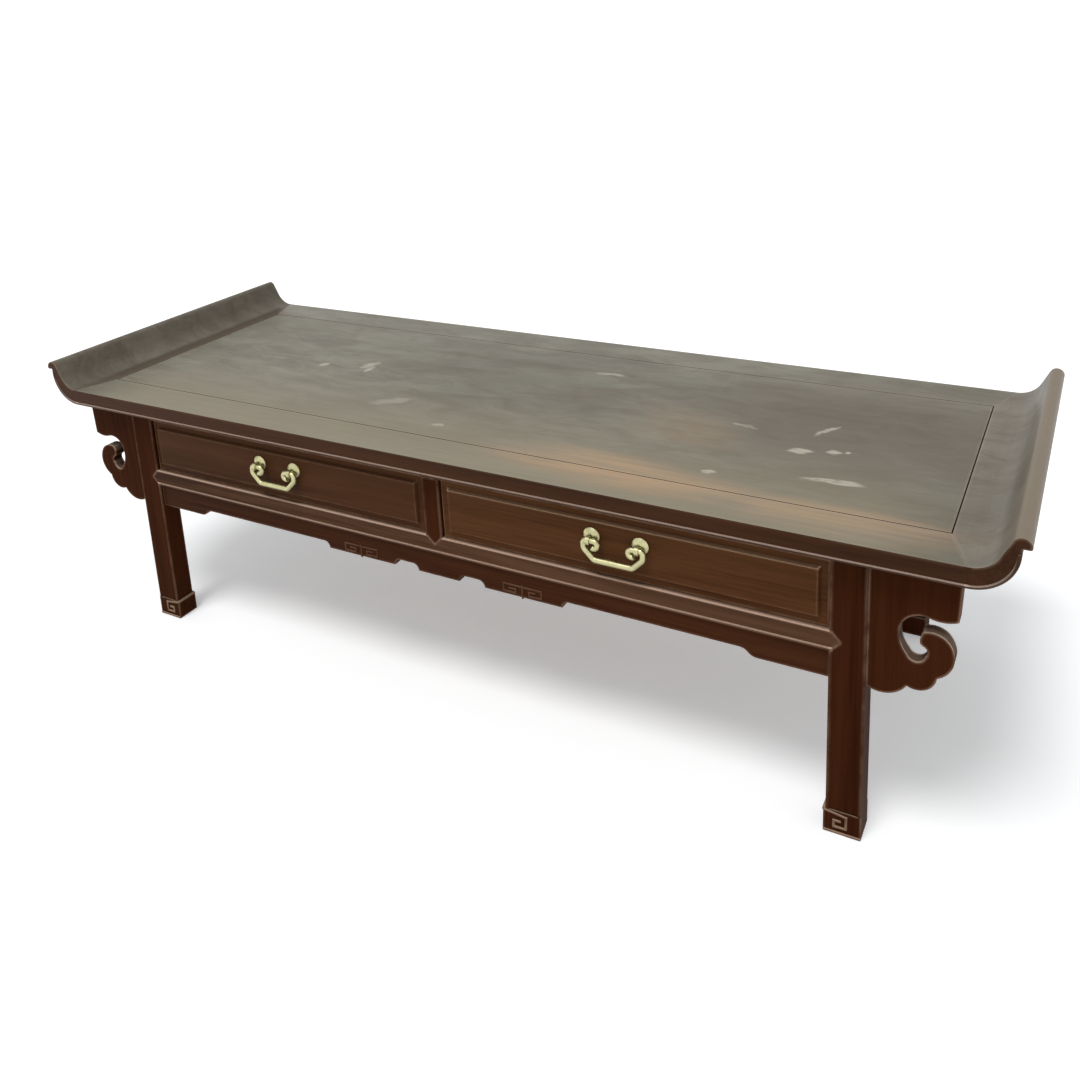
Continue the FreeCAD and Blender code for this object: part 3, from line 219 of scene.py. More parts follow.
WARM_PATCHES = (
    Mark(0.30, -0.03, 0.11, 0.08, -35.0, 0.3),
    Mark(0.27, -0.205, 0.24, 0.052, 0.0, 1.0),
    Mark(0.54, -0.215, 0.2, 0.045, 0.0, 0.75),
)


def rgb(red: float, green: float, blue: float) -> Colour:
    """Gives a linear colour from the 0 to 255 values of a colour chart."""
    def linear(value: float) -> float:
        """Takes the display curve off one channel."""
        share = value / 255
        return share / 12.92 if share <= 0.04045 else ((share + 0.055) / 1.055) ** 2.4

    return (linear(red), linear(green), linear(blue), 1.0)


class NodeGraph:
    """Adds nodes to one node tree and joins their sockets."""

    def __init__(self, tree: bpy.types.NodeTree) -> None:
        """Takes the tree that the nodes go into."""
        self.tree = tree

    def add(self, kind: str, **settings: object) -> bpy.types.Node:
        """Adds a node.

        Args:
            kind: Blender's type name of the node.
            **settings: Properties of the node and their values.

        Returns:
            The new node.
        """
        node = self.tree.nodes.new(kind)
        for name, value in settings.items():
            setattr(node, name, value)
        return node

    def feed(self, socket: Socket, source: Source) -> None:
        """Links an output to an input, or sets the input's own value.

        Args:
            socket: The input.
            source: An output socket, a number, a colour or a vector.
        """
        if isinstance(source, Socket):
            self.tree.links.new(source, socket)
        else:
            socket.default_value = source

    def find(self, kind: str) -> bpy.types.Node:
        """Finds the node of a type that the tree starts out with."""
        return next(node for node in self.tree.nodes if node.type == kind)

    def maths(self, operation: str, first: Source, second: Source = 0.0) -> Socket:
        """Works out a sum, product or the like of two values and gives its output."""
        node = self.add("ShaderNodeMath", operation=operation)
        self.feed(node.inputs[0], first)
        self.feed(node.inputs[1], second)
        return node.outputs[0]

    def product(self, first: Source, second: Source) -> Socket:
        """Multiplies two values."""
        return self.maths("MULTIPLY", first, second)

    def larger(self, first: Source, second: Source) -> Socket:
        """Gives the larger of two values."""
        return self.maths("MAXIMUM", first, second)

    def vector(self, operation: str, first: Source, second: Source, third: Source = ORIGIN) -> Socket:
        """Works out a sum, product or the like of vectors and gives its vector output."""
        node = self.add("ShaderNodeVectorMath", operation=operation)
        for socket, source in zip(node.inputs, (first, second, third)):
            self.feed(socket, source)
        return node.outputs["Vector"]

    def split(self, vector: Source) -> tuple[Socket, Socket, Socket]:
        """Gives the X, Y and Z of a vector."""
        node = self.add("ShaderNodeSeparateXYZ")
        self.feed(node.inputs[0], vector)
        return node.outputs["X"], node.outputs["Y"], node.outputs["Z"]

    def noise(self, place: Source, scale: float, detail: float, roughness: float = 0.5,
              distortion: float = 0.0, output: str = "Fac") -> Socket:
        """Adds a noise texture.

        Args:
            place: Coordinates that the noise is read at.
            scale: Repeats to a unit of those coordinates.
            detail: Octaves of finer noise.
            roughness: Strength of the finer noise.
            distortion: How far the noise bends itself.
            output: Which of the texture's outputs is wanted.

        Returns:
            The noise's value, about 0.3 to 0.7, or its colour.
        """
        node = self.add("ShaderNodeTexNoise")
        for name, source in (("Vector", place), ("Scale", scale), ("Detail", detail),
                             ("Roughness", roughness), ("Distortion", distortion)):
            self.feed(node.inputs[name], source)
        return node.outputs[output]

    def spread(self, value: Source, low: float, high: float, start: Source = 0.0, finish: Source = 1.0
               ) -> Socket:
        """Stretches a part of a value's range smoothly over another range.

        Args:
            value: The value.
            low: Value that becomes start.
            high: Value that becomes finish.
            start: Lower end of the new range.
            finish: Upper end of the new range.

        Returns:
            The stretched value, held inside the new range.
        """
        node = self.add("ShaderNodeMapRange", interpolation_type="SMOOTHSTEP")
        for name, source in (("Value", value), ("From Min", low), ("From Max", high),
                             ("To Min", start), ("To Max", finish)):
            self.feed(node.inputs[name], source)
        return node.outputs["Result"]

    def mix(self, factor: Source, first: Source, second: Source, blend: str = "MIX") -> Socket:
        """Blends two colours.

        Args:
            factor: Share of the second colour.
            first: Colour under the blend.
            second: Colour over it.
            blend: Blender's name of the blend.

        Returns:
            The blended colour.
        """
        node = self.add("ShaderNodeMix", data_type="RGBA", blend_type=blend)
        self.feed(node.inputs[0], factor)
        self.feed(node.inputs[6], first)
        self.feed(node.inputs[7], second)
        return node.outputs[2]

    def bump(self, height: Source, normal: Source, strength: float, depth: float) -> Socket:
        """Adds fine relief to a normal.

        Args:
            height: Height of the relief.
            normal: The normal without it.
            strength: Share of it that shows.
            depth: How deep a height of 1 is, in metres.

        Returns:
            The normal with the relief.
        """
        node = self.add("ShaderNodeBump")
        for name, source in (("Strength", strength), ("Distance", depth), ("Height", height),
                             ("Normal", normal)):
            self.feed(node.inputs[name], source)
        return node.outputs["Normal"]


def new_material(name: str) -> tuple[bpy.types.Material, NodeGraph, bpy.types.Node]:
    """Starts a material.

    Args:
        name: Name of the material.

    Returns:
        The material, its graph and its surface shader.
    """
    material = bpy.data.materials.new(name)
    material.use_nodes = True
    graph = NodeGraph(material.node_tree)
    return material, graph, graph.find("BSDF_PRINCIPLED")


class EffectShop:
    """Makes each shared shader group once and places it in materials."""

    def __init__(self) -> None:
        """Builds the groups."""
        self.groups: dict[Effect, bpy.types.NodeTree] = {}
        self._make_grain()
        self._make_wear()
        self._make_scuffs()

    def _open(self, effect: Effect, inputs: dict[str, str], outputs: dict[str, str]
              ) -> tuple[NodeGraph, bpy.types.Node, bpy.types.Node]:
        """Starts a group with its sockets.

        Args:
            effect: Which group it is.
            inputs: Name and socket type of each input.
            outputs: Name and socket type of each output.

        Returns:
            The group's graph, its input node and its output node.
        """
        tree = bpy.data.node_groups.new(effect.value, "ShaderNodeTree")
        for name, kind in inputs.items():
            tree.interface.new_socket(name, in_out="INPUT", socket_type=kind)
        for name, kind in outputs.items():
            tree.interface.new_socket(name, in_out="OUTPUT", socket_type=kind)
        self.groups[effect] = tree
        graph = NodeGraph(tree)
        return graph, graph.add("NodeGroupInput"), graph.add("NodeGroupOutput")

    def _make_grain(self) -> None:
        """Grain: broad figure, fibre streaks and short pores, stretched along the fibres."""
        graph, given, out = self._open(
            Effect.GRAIN,
            {"Place": "NodeSocketVector", "Run": "NodeSocketVector"},
            {layer.output: "NodeSocketFloat" for layer in GRAIN_LAYERS},
        )
        for layer in GRAIN_LAYERS:
            change = (layer.along - layer.across,) * 3
            scale = graph.vector("MULTIPLY_ADD", given.outputs["Run"], change, (layer.across,) * 3)
            place = graph.vector("MULTIPLY", given.outputs["Place"], scale)
            value = graph.noise(place, 1.0, layer.detail, layer.roughness, layer.distortion)
            graph.feed(out.inputs[layer.output], graph.spread(value, layer.low, layer.high))

    def _make_wear(self) -> None:
        """Wear: rubbed outer edges, hollows where the wood finishes paint shade and grime and brass keeps
        dirt, and edges eased by handling.
        """
        graph, given, out = self._open(
            Effect.WEAR,
            {"Place": "NodeSocketVector", "Reach": "NodeSocketFloat", "Ease": "NodeSocketFloat"},
            {"Rubbed": "NodeSocketFloat", "Edge": "NodeSocketFloat", "Hollow": "NodeSocketFloat",
             "Eased": "NodeSocketVector"},
        )

        def felt(inside: bool) -> Socket:
            """Tells how much lies near a place, inside the piece or round it."""
            node = graph.add("ShaderNodeAmbientOcclusion", inside=inside, only_local=True,
                             samples=EDGE_SAMPLES)
            graph.feed(node.inputs["Distance"], given.outputs["Reach"])
            return graph.maths("SUBTRACT", 1.0, node.outputs["AO"])

        thin = felt(True)
        patchy = graph.noise(given.outputs["Place"], PATCHY_SCALE, detail=4.0, roughness=0.65)
        left_over = graph.spread(patchy, *PATCHY_BAND, LEAST_RUBBED, 1.0)
        eased = graph.add("ShaderNodeBevel", samples=EASE_SAMPLES)
        graph.feed(eased.inputs["Radius"], given.outputs["Ease"])
        graph.feed(out.inputs["Rubbed"], graph.product(graph.spread(thin, *RUBBED_BAND), left_over))
        graph.feed(out.inputs["Edge"], graph.spread(thin, *EDGE_BAND))
        graph.feed(out.inputs["Hollow"], graph.spread(felt(False), *HOLLOW_BAND))
        graph.feed(out.inputs["Eased"], eased.outputs["Normal"])

    def _make_scuffs(self) -> None:
        """Scuffs: pale rubs, warm worn patches and a cloudy haze on a table top."""
        graph, given, out = self._open(
            Effect.SCUFFS,
            {"Place": "NodeSocketVector"},
            {"Rubs": "NodeSocketFloat", "Patches": "NodeSocketFloat", "Dull": "NodeSocketFloat",
             "Haze": "NodeSocketFloat", "Mottle": "NodeSocketFloat"},
        )
        place = given.outputs["Place"]

        def drawn_out(stretch: float) -> Socket:
            """Squeezes the place so that noise comes out long in the table's direction."""
            return graph.vector("MULTIPLY", place, (stretch, 1.0, 1.0))

        def cloudy(cloud: Cloud) -> Socket:
            """Paints a cloudy mask."""
            value = graph.noise(drawn_out(cloud.stretch), cloud.scale, cloud.detail, cloud.roughness,
                                cloud.distortion)
            return graph.spread(value, cloud.low, cloud.high, cloud.least, 1.0)

        def strayed(stray: Stray) -> Socket:
            """Moves the place about by noise, so that marks come out ragged."""
            colour = graph.noise(drawn_out(STRAY_STRETCH), stray.scale, stray.detail, output="Color")
            shift = graph.vector("SUBTRACT", colour, NOISE_MIDDLE)
            return graph.vector("MULTIPLY_ADD", shift, (stray.amount, stray.amount, 0.0), place)

        rubs = self._marks(graph, strayed(RUB_STRAY), PALE_RUBS, RUB_CORE)
        wandering = strayed(PATCH_STRAY)
        patches = self._marks(graph, wandering, WARM_PATCHES, WARM_CORE)
        graph.feed(out.inputs["Rubs"], graph.product(rubs, cloudy(RAGGED)))
        graph.feed(out.inputs["Patches"], graph.product(patches, cloudy(STREAKY)))
        graph.feed(out.inputs["Dull"], self._marks(graph, wandering, DULL_PATCHES, DULL_CORE))
        graph.feed(out.inputs["Haze"], cloudy(HAZE))
        graph.feed(out.inputs["Mottle"], cloudy(MOTTLE))

    @staticmethod
    def _marks(graph: NodeGraph, place: Socket, marks: tuple[Mark, ...], core: float) -> Source:
        """Paints marks as masks and keeps the strongest at each place.

        Args:
            graph: The group's graph.
            place: Place on the table top.
            marks: The marks.
            core: Share of a mark's size over which it is at full strength.

        Returns:
            The mask.
        """
        strongest: Source = 0.0
        for mark in marks:
            local = graph.add("ShaderNodeMapping", vector_type="TEXTURE")
            graph.feed(local.inputs["Vector"], place)
            graph.feed(local.inputs["Location"], (mark.x, mark.y, TOP_LEVEL))
            graph.feed(local.inputs["Rotation"], (0.0, 0.0, math.radians(mark.turn)))
            graph.feed(local.inputs["Scale"], (mark.half_length, mark.half_width, 1.0))
            length = graph.add("ShaderNodeVectorMath", operation="LENGTH")
            graph.feed(length.inputs[0], local.outputs["Vector"])
            shade = graph.spread(length.outputs["Value"], MARK_END, core, 0.0, mark.strength)
            strongest = graph.larger(strongest, shade)
        return strongest

    def place(self, graph: NodeGraph, effect: Effect, values: dict[str, Source]) -> bpy.types.Node:
        """Places a group in a material.

        Args:
            graph: The material's graph.
            effect: Which group to place.
            values: What each of its inputs is fed with.

        Returns:
            The group's node.
        """
        node = graph.add("ShaderNodeGroup", node_tree=self.groups[effect])
        for name, source in values.items():
            graph.feed(node.inputs[name], source)
        return node


@dataclass(frozen=True)
class Surface:
    """What a finish knows of a place on a piece: its effects, how far it faces up, and dust with a painted
    highlight on edges.
    """

    graph: NodeGraph
    shop: EffectShop
    place: Socket
    grain: bpy.types.bpy_prop_collection
    wear: bpy.types.bpy_prop_collection
    ledge: Socket
    dust_and_highlight_mask: Socket


@dataclass(frozen=True, kw_only=True)
class WoodFinish:
    """Polished wood: its colours, its gloss, how much it has worn, dust and a painted highlight on its
    upward-facing edges, and painted shade and grime in its hollows.
    """

    name: str
    dark: Colour
    mid: Colour
    light: Colour
    rubbed: Colour
    dust_and_highlight: Colour
    roughness: float
    gloss: float
    wear: float
    dust_and_highlight_share: float
    sheen: Colour = WHITE
    reach: float = 0.0035
    ease: float = 0.0009
    figure_share: float = 0.6
    pore_share: float = 0.4
    hollow_shade_share: float = 0.9
    least_dust_and_highlight: float = 0.2
    satin: Band = (-0.05, 0.06)
    rubbed_dulling: float = 0.08
    streak_relief: float = 0.35
    relief: float = 0.16
    relief_depth: float = 0.0004

    def material(self, shop: EffectShop, fibre: Fibre) -> bpy.types.Material:
        """Makes the finish for one run of the fibres, or finds it if it is made.

        Args:
            shop: Where the shared effects come from.
            fibre: Direction of the fibres.

        Returns:
            The material.
        """
        name = f"{self.name}_{fibre.name.lower()}"
        if name in bpy.data.materials:
            return bpy.data.materials[name]
        material, graph, shader = new_material(name)
        shader.inputs["Specular IOR Level"].default_value = self.gloss
        shader.inputs["Specular Tint"].default_value = self.sheen
        self._dress(graph, shader, shop, fibre)
        return material

    def _dress(self, graph: NodeGraph, shader: bpy.types.Node, shop: EffectShop, fibre: Fibre) -> None:
        """Feeds the shader's colour, roughness and normal.

        Args:
            graph: The material's graph.
            shader: Its surface shader.
            shop: Where the shared effects come from.
            fibre: Direction of the fibres.
        """
        where = graph.add("ShaderNodeTexCoord")
        place = where.outputs["Object"]
        grain = shop.place(graph, Effect.GRAIN, {"Place": place, "Run": fibre.value}).outputs
        worn = {"Place": place, "Reach": self.reach, "Ease": self.ease}
        wear = shop.place(graph, Effect.WEAR, worn).outputs
        _, _, upward = graph.split(where.outputs["Normal"])
        ledge = graph.spread(upward, *LEDGE_BAND)
        # Dust and a painted highlight on upward-facing parts, strongest at their edges
        dust_and_highlight_mask = graph.product(ledge, graph.spread(wear["Edge"], 0.0, 1.0, self.least_dust_and_highlight, 1.0))
        surface = Surface(graph, shop, place, grain, wear, ledge, dust_and_highlight_mask)
        rubbed = graph.product(self._rubbing(surface), self.wear)
        wood = graph.mix(rubbed, self._wood_colour(surface), self.rubbed)
        # Painted shade and grime: the wood darkens towards its dark colour in hollows and gaps
        hollow_shade = graph.product(wear["Hollow"], self.hollow_shade_share)
        graph.feed(shader.inputs["Base Color"], graph.mix(hollow_shade, wood, self.dark))
        smooth, rough = (self.roughness + change for change in self.satin)
        satin = graph.spread(grain["Figure"], 0.0, 1.0, smooth, rough)
        dulled = graph.maths("ADD", satin, graph.product(rubbed, self.rubbed_dulling))
        graph.feed(shader.inputs["Roughness"], dulled)
        streaks = graph.product(grain["Streaks"], self.streak_relief)
        height = graph.maths("SUBTRACT", streaks, grain["Pores"])
        normal = graph.bump(height, wear["Eased"], self.relief, self.relief_depth)
        graph.feed(shader.inputs["Normal"], normal)

    def _rubbing(self, surface: Surface) -> Socket:
        """Tells where edges are rubbed: here, on every outer edge."""
        return surface.wear["Rubbed"]

    def _wood_colour(self, surface: Surface) -> Socket:
        """Mixes the colour of the wood before wear, with dust and a painted highlight on upward-facing
        edges.

        Args:
            surface: What is known of the surface.

        Returns:
            The colour.
        """
        graph, grain = surface.graph, surface.grain
        streaked = graph.mix(grain["Streaks"], self.dark, self.mid)
        figured = graph.mix(graph.product(grain["Figure"], self.figure_share), streaked, self.light)
        pored = graph.mix(graph.product(grain["Pores"], self.pore_share), figured, self.dark)
        return graph.mix(graph.product(surface.dust_and_highlight_mask, self.dust_and_highlight_share), pored, self.dust_and_highlight)


@dataclass(frozen=True, kw_only=True)
class WornTopFinish(WoodFinish):
    """Wood of the table top, whose upper side has faded to a hazy grey brown with pale rubs and carries a
    painted sheen, lighter towards the front and painted lighter on the right crest.
    """

    faded: Colour
    hazy: Colour
    dull: Colour
    stained: Colour
    lighter_front_and_lit_crest: Colour
    warm: Colour
    pale: Colour
    mottling: float = 0.55
    front_and_crest_share: float = 0.85
    scuffing: float = 0.85
    fade_and_sheen_cover: Band = (0.84, 0.97)

    def _rubbing(self, surface: Surface) -> Socket:
        """Tells where edges are rubbed: the rim and the raised ends, but not the flush joints.

        Args:
            surface: What is known of the surface.

        Returns:
            The mask.
        """
        graph = surface.graph
        along, across, height = graph.split(surface.place)
        rim = graph.spread(graph.maths("ABSOLUTE", across), *RIM_BAND)
        raised = graph.spread(height, *RAISED_BAND)
        from_joint = graph.maths("SUBTRACT", graph.maths("ABSOLUTE", along), MITRE_END)
        clear = graph.spread(graph.maths("ABSOLUTE", from_joint), *JOINT_BAND)
        open_edge = graph.product(graph.larger(rim, raised), clear)
        return graph.product(surface.wear["Rubbed"], open_edge)

    def _shaded(self, surface: Surface, colour: Socket) -> Socket:
        """Shades the faded colour by place: here, not at all."""
        return colour

    def _wood_colour(self, surface: Surface) -> Socket:
        """Mixes the wood's own colour with the fading and the painted sheen of its upper side.

        Args:
            surface: What is known of the surface.

        Returns:
            The colour.
        """
        graph = surface.graph
        bare = super()._wood_colour(surface)
        scuffs = surface.shop.place(graph, Effect.SCUFFS, {"Place": surface.place}).outputs
        along, across, height = graph.split(surface.place)
        # The upper side, where the wood has faded and a painted sheen lies over it
        upper = graph.product(surface.ledge, graph.spread(height, *UPPER_BAND))
        inward = graph.spread(graph.maths("ABSOLUTE", along), *INWARD_BAND)
        front = graph.product(inward, graph.spread(across, *FRONT_BAND))
        # Painted light: the crest of the right raised end is lighter, as if lit; the top is also lighter
        # towards its front edge
        crest = graph.product(graph.spread(along, *RIGHT_BAND), graph.spread(height, *CREST_BAND))
        clouded = graph.mix(scuffs["Haze"], self.faded, self.hazy)
        dulled = graph.mix(scuffs["Dull"], clouded, self.dull)
        mottled = graph.mix(graph.product(scuffs["Mottle"], self.mottling), dulled, self.stained)
        shaded = self._shaded(surface, mottled)
        front_and_crest_lightened = graph.mix(graph.product(graph.larger(front, crest), self.front_and_crest_share), shaded, self.lighter_front_and_lit_crest)
        patched = graph.mix(scuffs["Patches"], front_and_crest_lightened, self.warm)
        fade_and_sheen_cover = graph.spread(surface.grain["Streaks"], 0.0, 1.0, *self.fade_and_sheen_cover)
        upper_fade_and_sheen = graph.mix(graph.product(fade_and_sheen_cover, upper), bare, patched)
        rubs = graph.product(graph.product(scuffs["Rubs"], upper), self.scuffing)
        return graph.mix(rubs, upper_fade_and_sheen, self.pale)


@dataclass(frozen=True, kw_only=True)
class RaisedEndFinish(WornTopFinish):
    """Wood of the raised ends: the right one is painted lighter as if lit, the left one has a painted
    shade at its root.
    """

    right_end_painted_light: float
    root_painted_shade: Colour
    root_shade_share: Band = (0.4, 0.9)

    def _shaded(self, surface: Surface, colour: Socket) -> Socket:
        """Paints light and shade into the faded colour by place: lighter all over the right raised end, a
        painted shade at the root of the left one, deepening towards the back.

        Args:
            surface: What is known of the surface.
            colour: The faded colour.

        Returns:
            The shaded colour.
        """
        graph = surface.graph
        along, across, _ = graph.split(surface.place)
        root = graph.spread(graph.maths("ABSOLUTE", along), *ROOT_BAND)
        shade_deepening = graph.spread(across, *DEEPENING_BAND, *self.root_shade_share)
        root_shaded = graph.mix(graph.product(root, shade_deepening), colour, self.root_painted_shade)
        right_lit = graph.mix(1.0, colour, (self.right_end_painted_light, self.right_end_painted_light, self.right_end_painted_light, 1.0), "MULTIPLY")
        return graph.mix(graph.spread(along, *LEFT_BAND), right_lit, root_shaded)


@dataclass(frozen=True, kw_only=True)
class BrassFinish:
    """Cast brass that has been polished and has dulled a little, with a painted shade on its underside."""

    name: str
    bright: Colour
    dull: Colour
    dirt: Colour
    roughness: float
    reach: float = 0.003
    ease: float = 0.0006
    blotch_scale: float = 130.0
    blotch_band: Band = (0.35, 0.65)
    blotch_share: float = 0.45
    blotch_dulling: float = 0.14
    pit_scale: float = 900.0
    relief: float = 0.08
    relief_depth: float = 0.0003

    def material(self, shop: EffectShop) -> bpy.types.Material:
        """Makes the finish, or finds it if it is made.

        Args:
            shop: Where the shared effects come from.

        Returns:
            The material.
        """
        if self.name in bpy.data.materials:
            return bpy.data.materials[self.name]
        material, graph, shader = new_material(self.name)
        shader.inputs["Metallic"].default_value = 1.0
        where = graph.add("ShaderNodeTexCoord")
        place = where.outputs["Object"]
        worn = {"Place": place, "Reach": self.reach, "Ease": self.ease}
        wear = shop.place(graph, Effect.WEAR, worn).outputs
        blotchy = graph.noise(place, self.blotch_scale, detail=4.0, roughness=0.6)
        blotches = graph.spread(blotchy, *self.blotch_band)
        pits = graph.noise(place, self.pit_scale, detail=3.0, roughness=0.6)
        _, _, upward = graph.split(where.outputs["Normal"])
        # Painted shade: the underside of the brass is mixed towards its dull colour, together with the
        # tarnished blotches
        under = graph.spread(upward, *UNDERSIDE_SHADE_BAND)
        dulled = graph.larger(graph.product(blotches, self.blotch_share), under)
        metal = graph.mix(dulled, self.bright, self.dull)
        graph.feed(shader.inputs["Base Color"], graph.mix(wear["Hollow"], metal, self.dirt))
        rough = self.roughness + self.blotch_dulling
        graph.feed(shader.inputs["Roughness"], graph.spread(blotches, 0.0, 1.0, self.roughness, rough))
        normal = graph.bump(pits, wear["Eased"], self.relief, self.relief_depth)
        graph.feed(shader.inputs["Normal"], normal)
        return material


WARM_SHEEN = rgb(255, 190, 150)
TOP_SHEEN = rgb(255, 228, 204)
# Each wood's dust colour is also a painted highlight along upward-facing edges and beads.
CASE_WOOD = WoodFinish(
    name="case_wood", dark=rgb(44, 18, 7), mid=rgb(58, 28, 13), light=rgb(72, 39, 21),
    rubbed=rgb(162, 132, 112), dust_and_highlight=rgb(198, 180, 160), sheen=WARM_SHEEN,
    roughness=0.44, gloss=0.012, wear=0.6, dust_and_highlight_share=0.9,
)
APRON_WOOD = WoodFinish(
    name="apron_wood", dark=rgb(48, 22, 10), mid=rgb(63, 34, 18), light=rgb(78, 46, 27),
    rubbed=rgb(144, 112, 92), dust_and_highlight=rgb(160, 132, 114), sheen=WARM_SHEEN,
    roughness=0.44, gloss=0.04, wear=0.55, dust_and_highlight_share=0.8,
)
FOOT_WOOD = replace(
    CASE_WOOD, name="foot_wood", rubbed=rgb(158, 130, 108), dust_and_highlight=rgb(168, 142, 124),
    gloss=0.06, wear=0.7, dust_and_highlight_share=0.8,
)
FRET_WOOD = replace(
    APRON_WOOD, name="fret_wood", rubbed=rgb(112, 82, 62), dust_and_highlight=rgb(112, 84, 66),
    gloss=0.06, wear=0.5, dust_and_highlight_share=0.5,
)
RAIL_WOOD = WoodFinish(
    name="rail_wood", dark=rgb(50, 28, 16), mid=rgb(81, 54, 38), light=rgb(100, 72, 53),
    rubbed=rgb(144, 114, 94), dust_and_highlight=rgb(206, 176, 156), sheen=WARM_SHEEN,
    roughness=0.44, gloss=0.05, wear=0.35, dust_and_highlight_share=0.95,
)
# The drawer fronts are lit and shaded copies of one wood: the right one lighter with a strong painted
# highlight on its upper edges, the left one darker with a weak one.
LIT_RIGHT_FRONT_WOOD = WoodFinish(
    name="right_drawer_wood", dark=rgb(54, 29, 13), mid=rgb(79, 48, 27), light=rgb(99, 65, 40),
    rubbed=rgb(180, 144, 112), dust_and_highlight=rgb(240, 202, 164), sheen=WARM_SHEEN,
    roughness=0.4, gloss=0.06, wear=0.4, dust_and_highlight_share=1.0,
)
SHADED_LEFT_FRONT_WOOD = replace(
    LIT_RIGHT_FRONT_WOOD, name="left_drawer_wood", mid=rgb(66, 39, 22), light=rgb(85, 55, 34),
    dust_and_highlight=rgb(170, 132, 104), dust_and_highlight_share=0.5,
)
# The upper-side colours of the top and its ends carry a painted sheen as well as their fading and wear.
TOP_WOOD = WornTopFinish(
    name="top_wood", dark=rgb(40, 17, 8), mid=rgb(57, 31, 16), light=rgb(74, 44, 25),
    rubbed=rgb(128, 112, 94), dust_and_highlight=rgb(200, 176, 162), sheen=TOP_SHEEN,
    roughness=0.38, gloss=0.12, wear=0.25, dust_and_highlight_share=0.9,
    faded=rgb(113, 112, 99), hazy=rgb(138, 137, 122), dull=rgb(106, 100, 87), stained=rgb(93, 85, 72),
    lighter_front_and_lit_crest=rgb(145, 137, 117), warm=rgb(174, 149, 119), pale=rgb(186, 179, 163),
)
# Raised ends: the patch colour is lighter than the faded one and paints light on the right end
END_WOOD = RaisedEndFinish(
    name="end_wood", dark=TOP_WOOD.dark, mid=TOP_WOOD.mid, light=TOP_WOOD.light,
    rubbed=rgb(140, 120, 98), dust_and_highlight=TOP_WOOD.dust_and_highlight, sheen=TOP_SHEEN,
    roughness=0.38, gloss=0.12, wear=0.5, dust_and_highlight_share=0.9,
    faded=rgb(97, 94, 84), hazy=rgb(124, 119, 107), dull=rgb(114, 109, 98), stained=rgb(78, 70, 59),
    lighter_front_and_lit_crest=rgb(131, 119, 101), warm=rgb(140, 124, 104), pale=rgb(160, 148, 130),
    right_end_painted_light=1.36, root_painted_shade=rgb(74, 66, 54),
)
LINING_WOOD = WoodFinish(
    name="lining_wood", dark=rgb(112, 78, 50), mid=rgb(150, 112, 76), light=rgb(170, 132, 92),
    rubbed=rgb(190, 158, 120), dust_and_highlight=rgb(170, 146, 116), roughness=0.6, gloss=0.2, wear=0.3, dust_and_highlight_share=0.2,
)
# The dull colour of the brass serves its tarnished blotches and the painted shade on its underside.
BRASS = BrassFinish(
    name="dulled_brass", bright=rgb(212, 207, 160), dull=rgb(160, 157, 120), dirt=rgb(52, 46, 28),
    roughness=0.34,
)


# How near two places are when they count as one, and the least length that counts
SAME_PLACE = 1e-5
LEAST_LENGTH = 1e-6
# Rounding of carved edges
ROUNDING_STEPS = 3
SMOOTH_BELOW = math.radians(40)


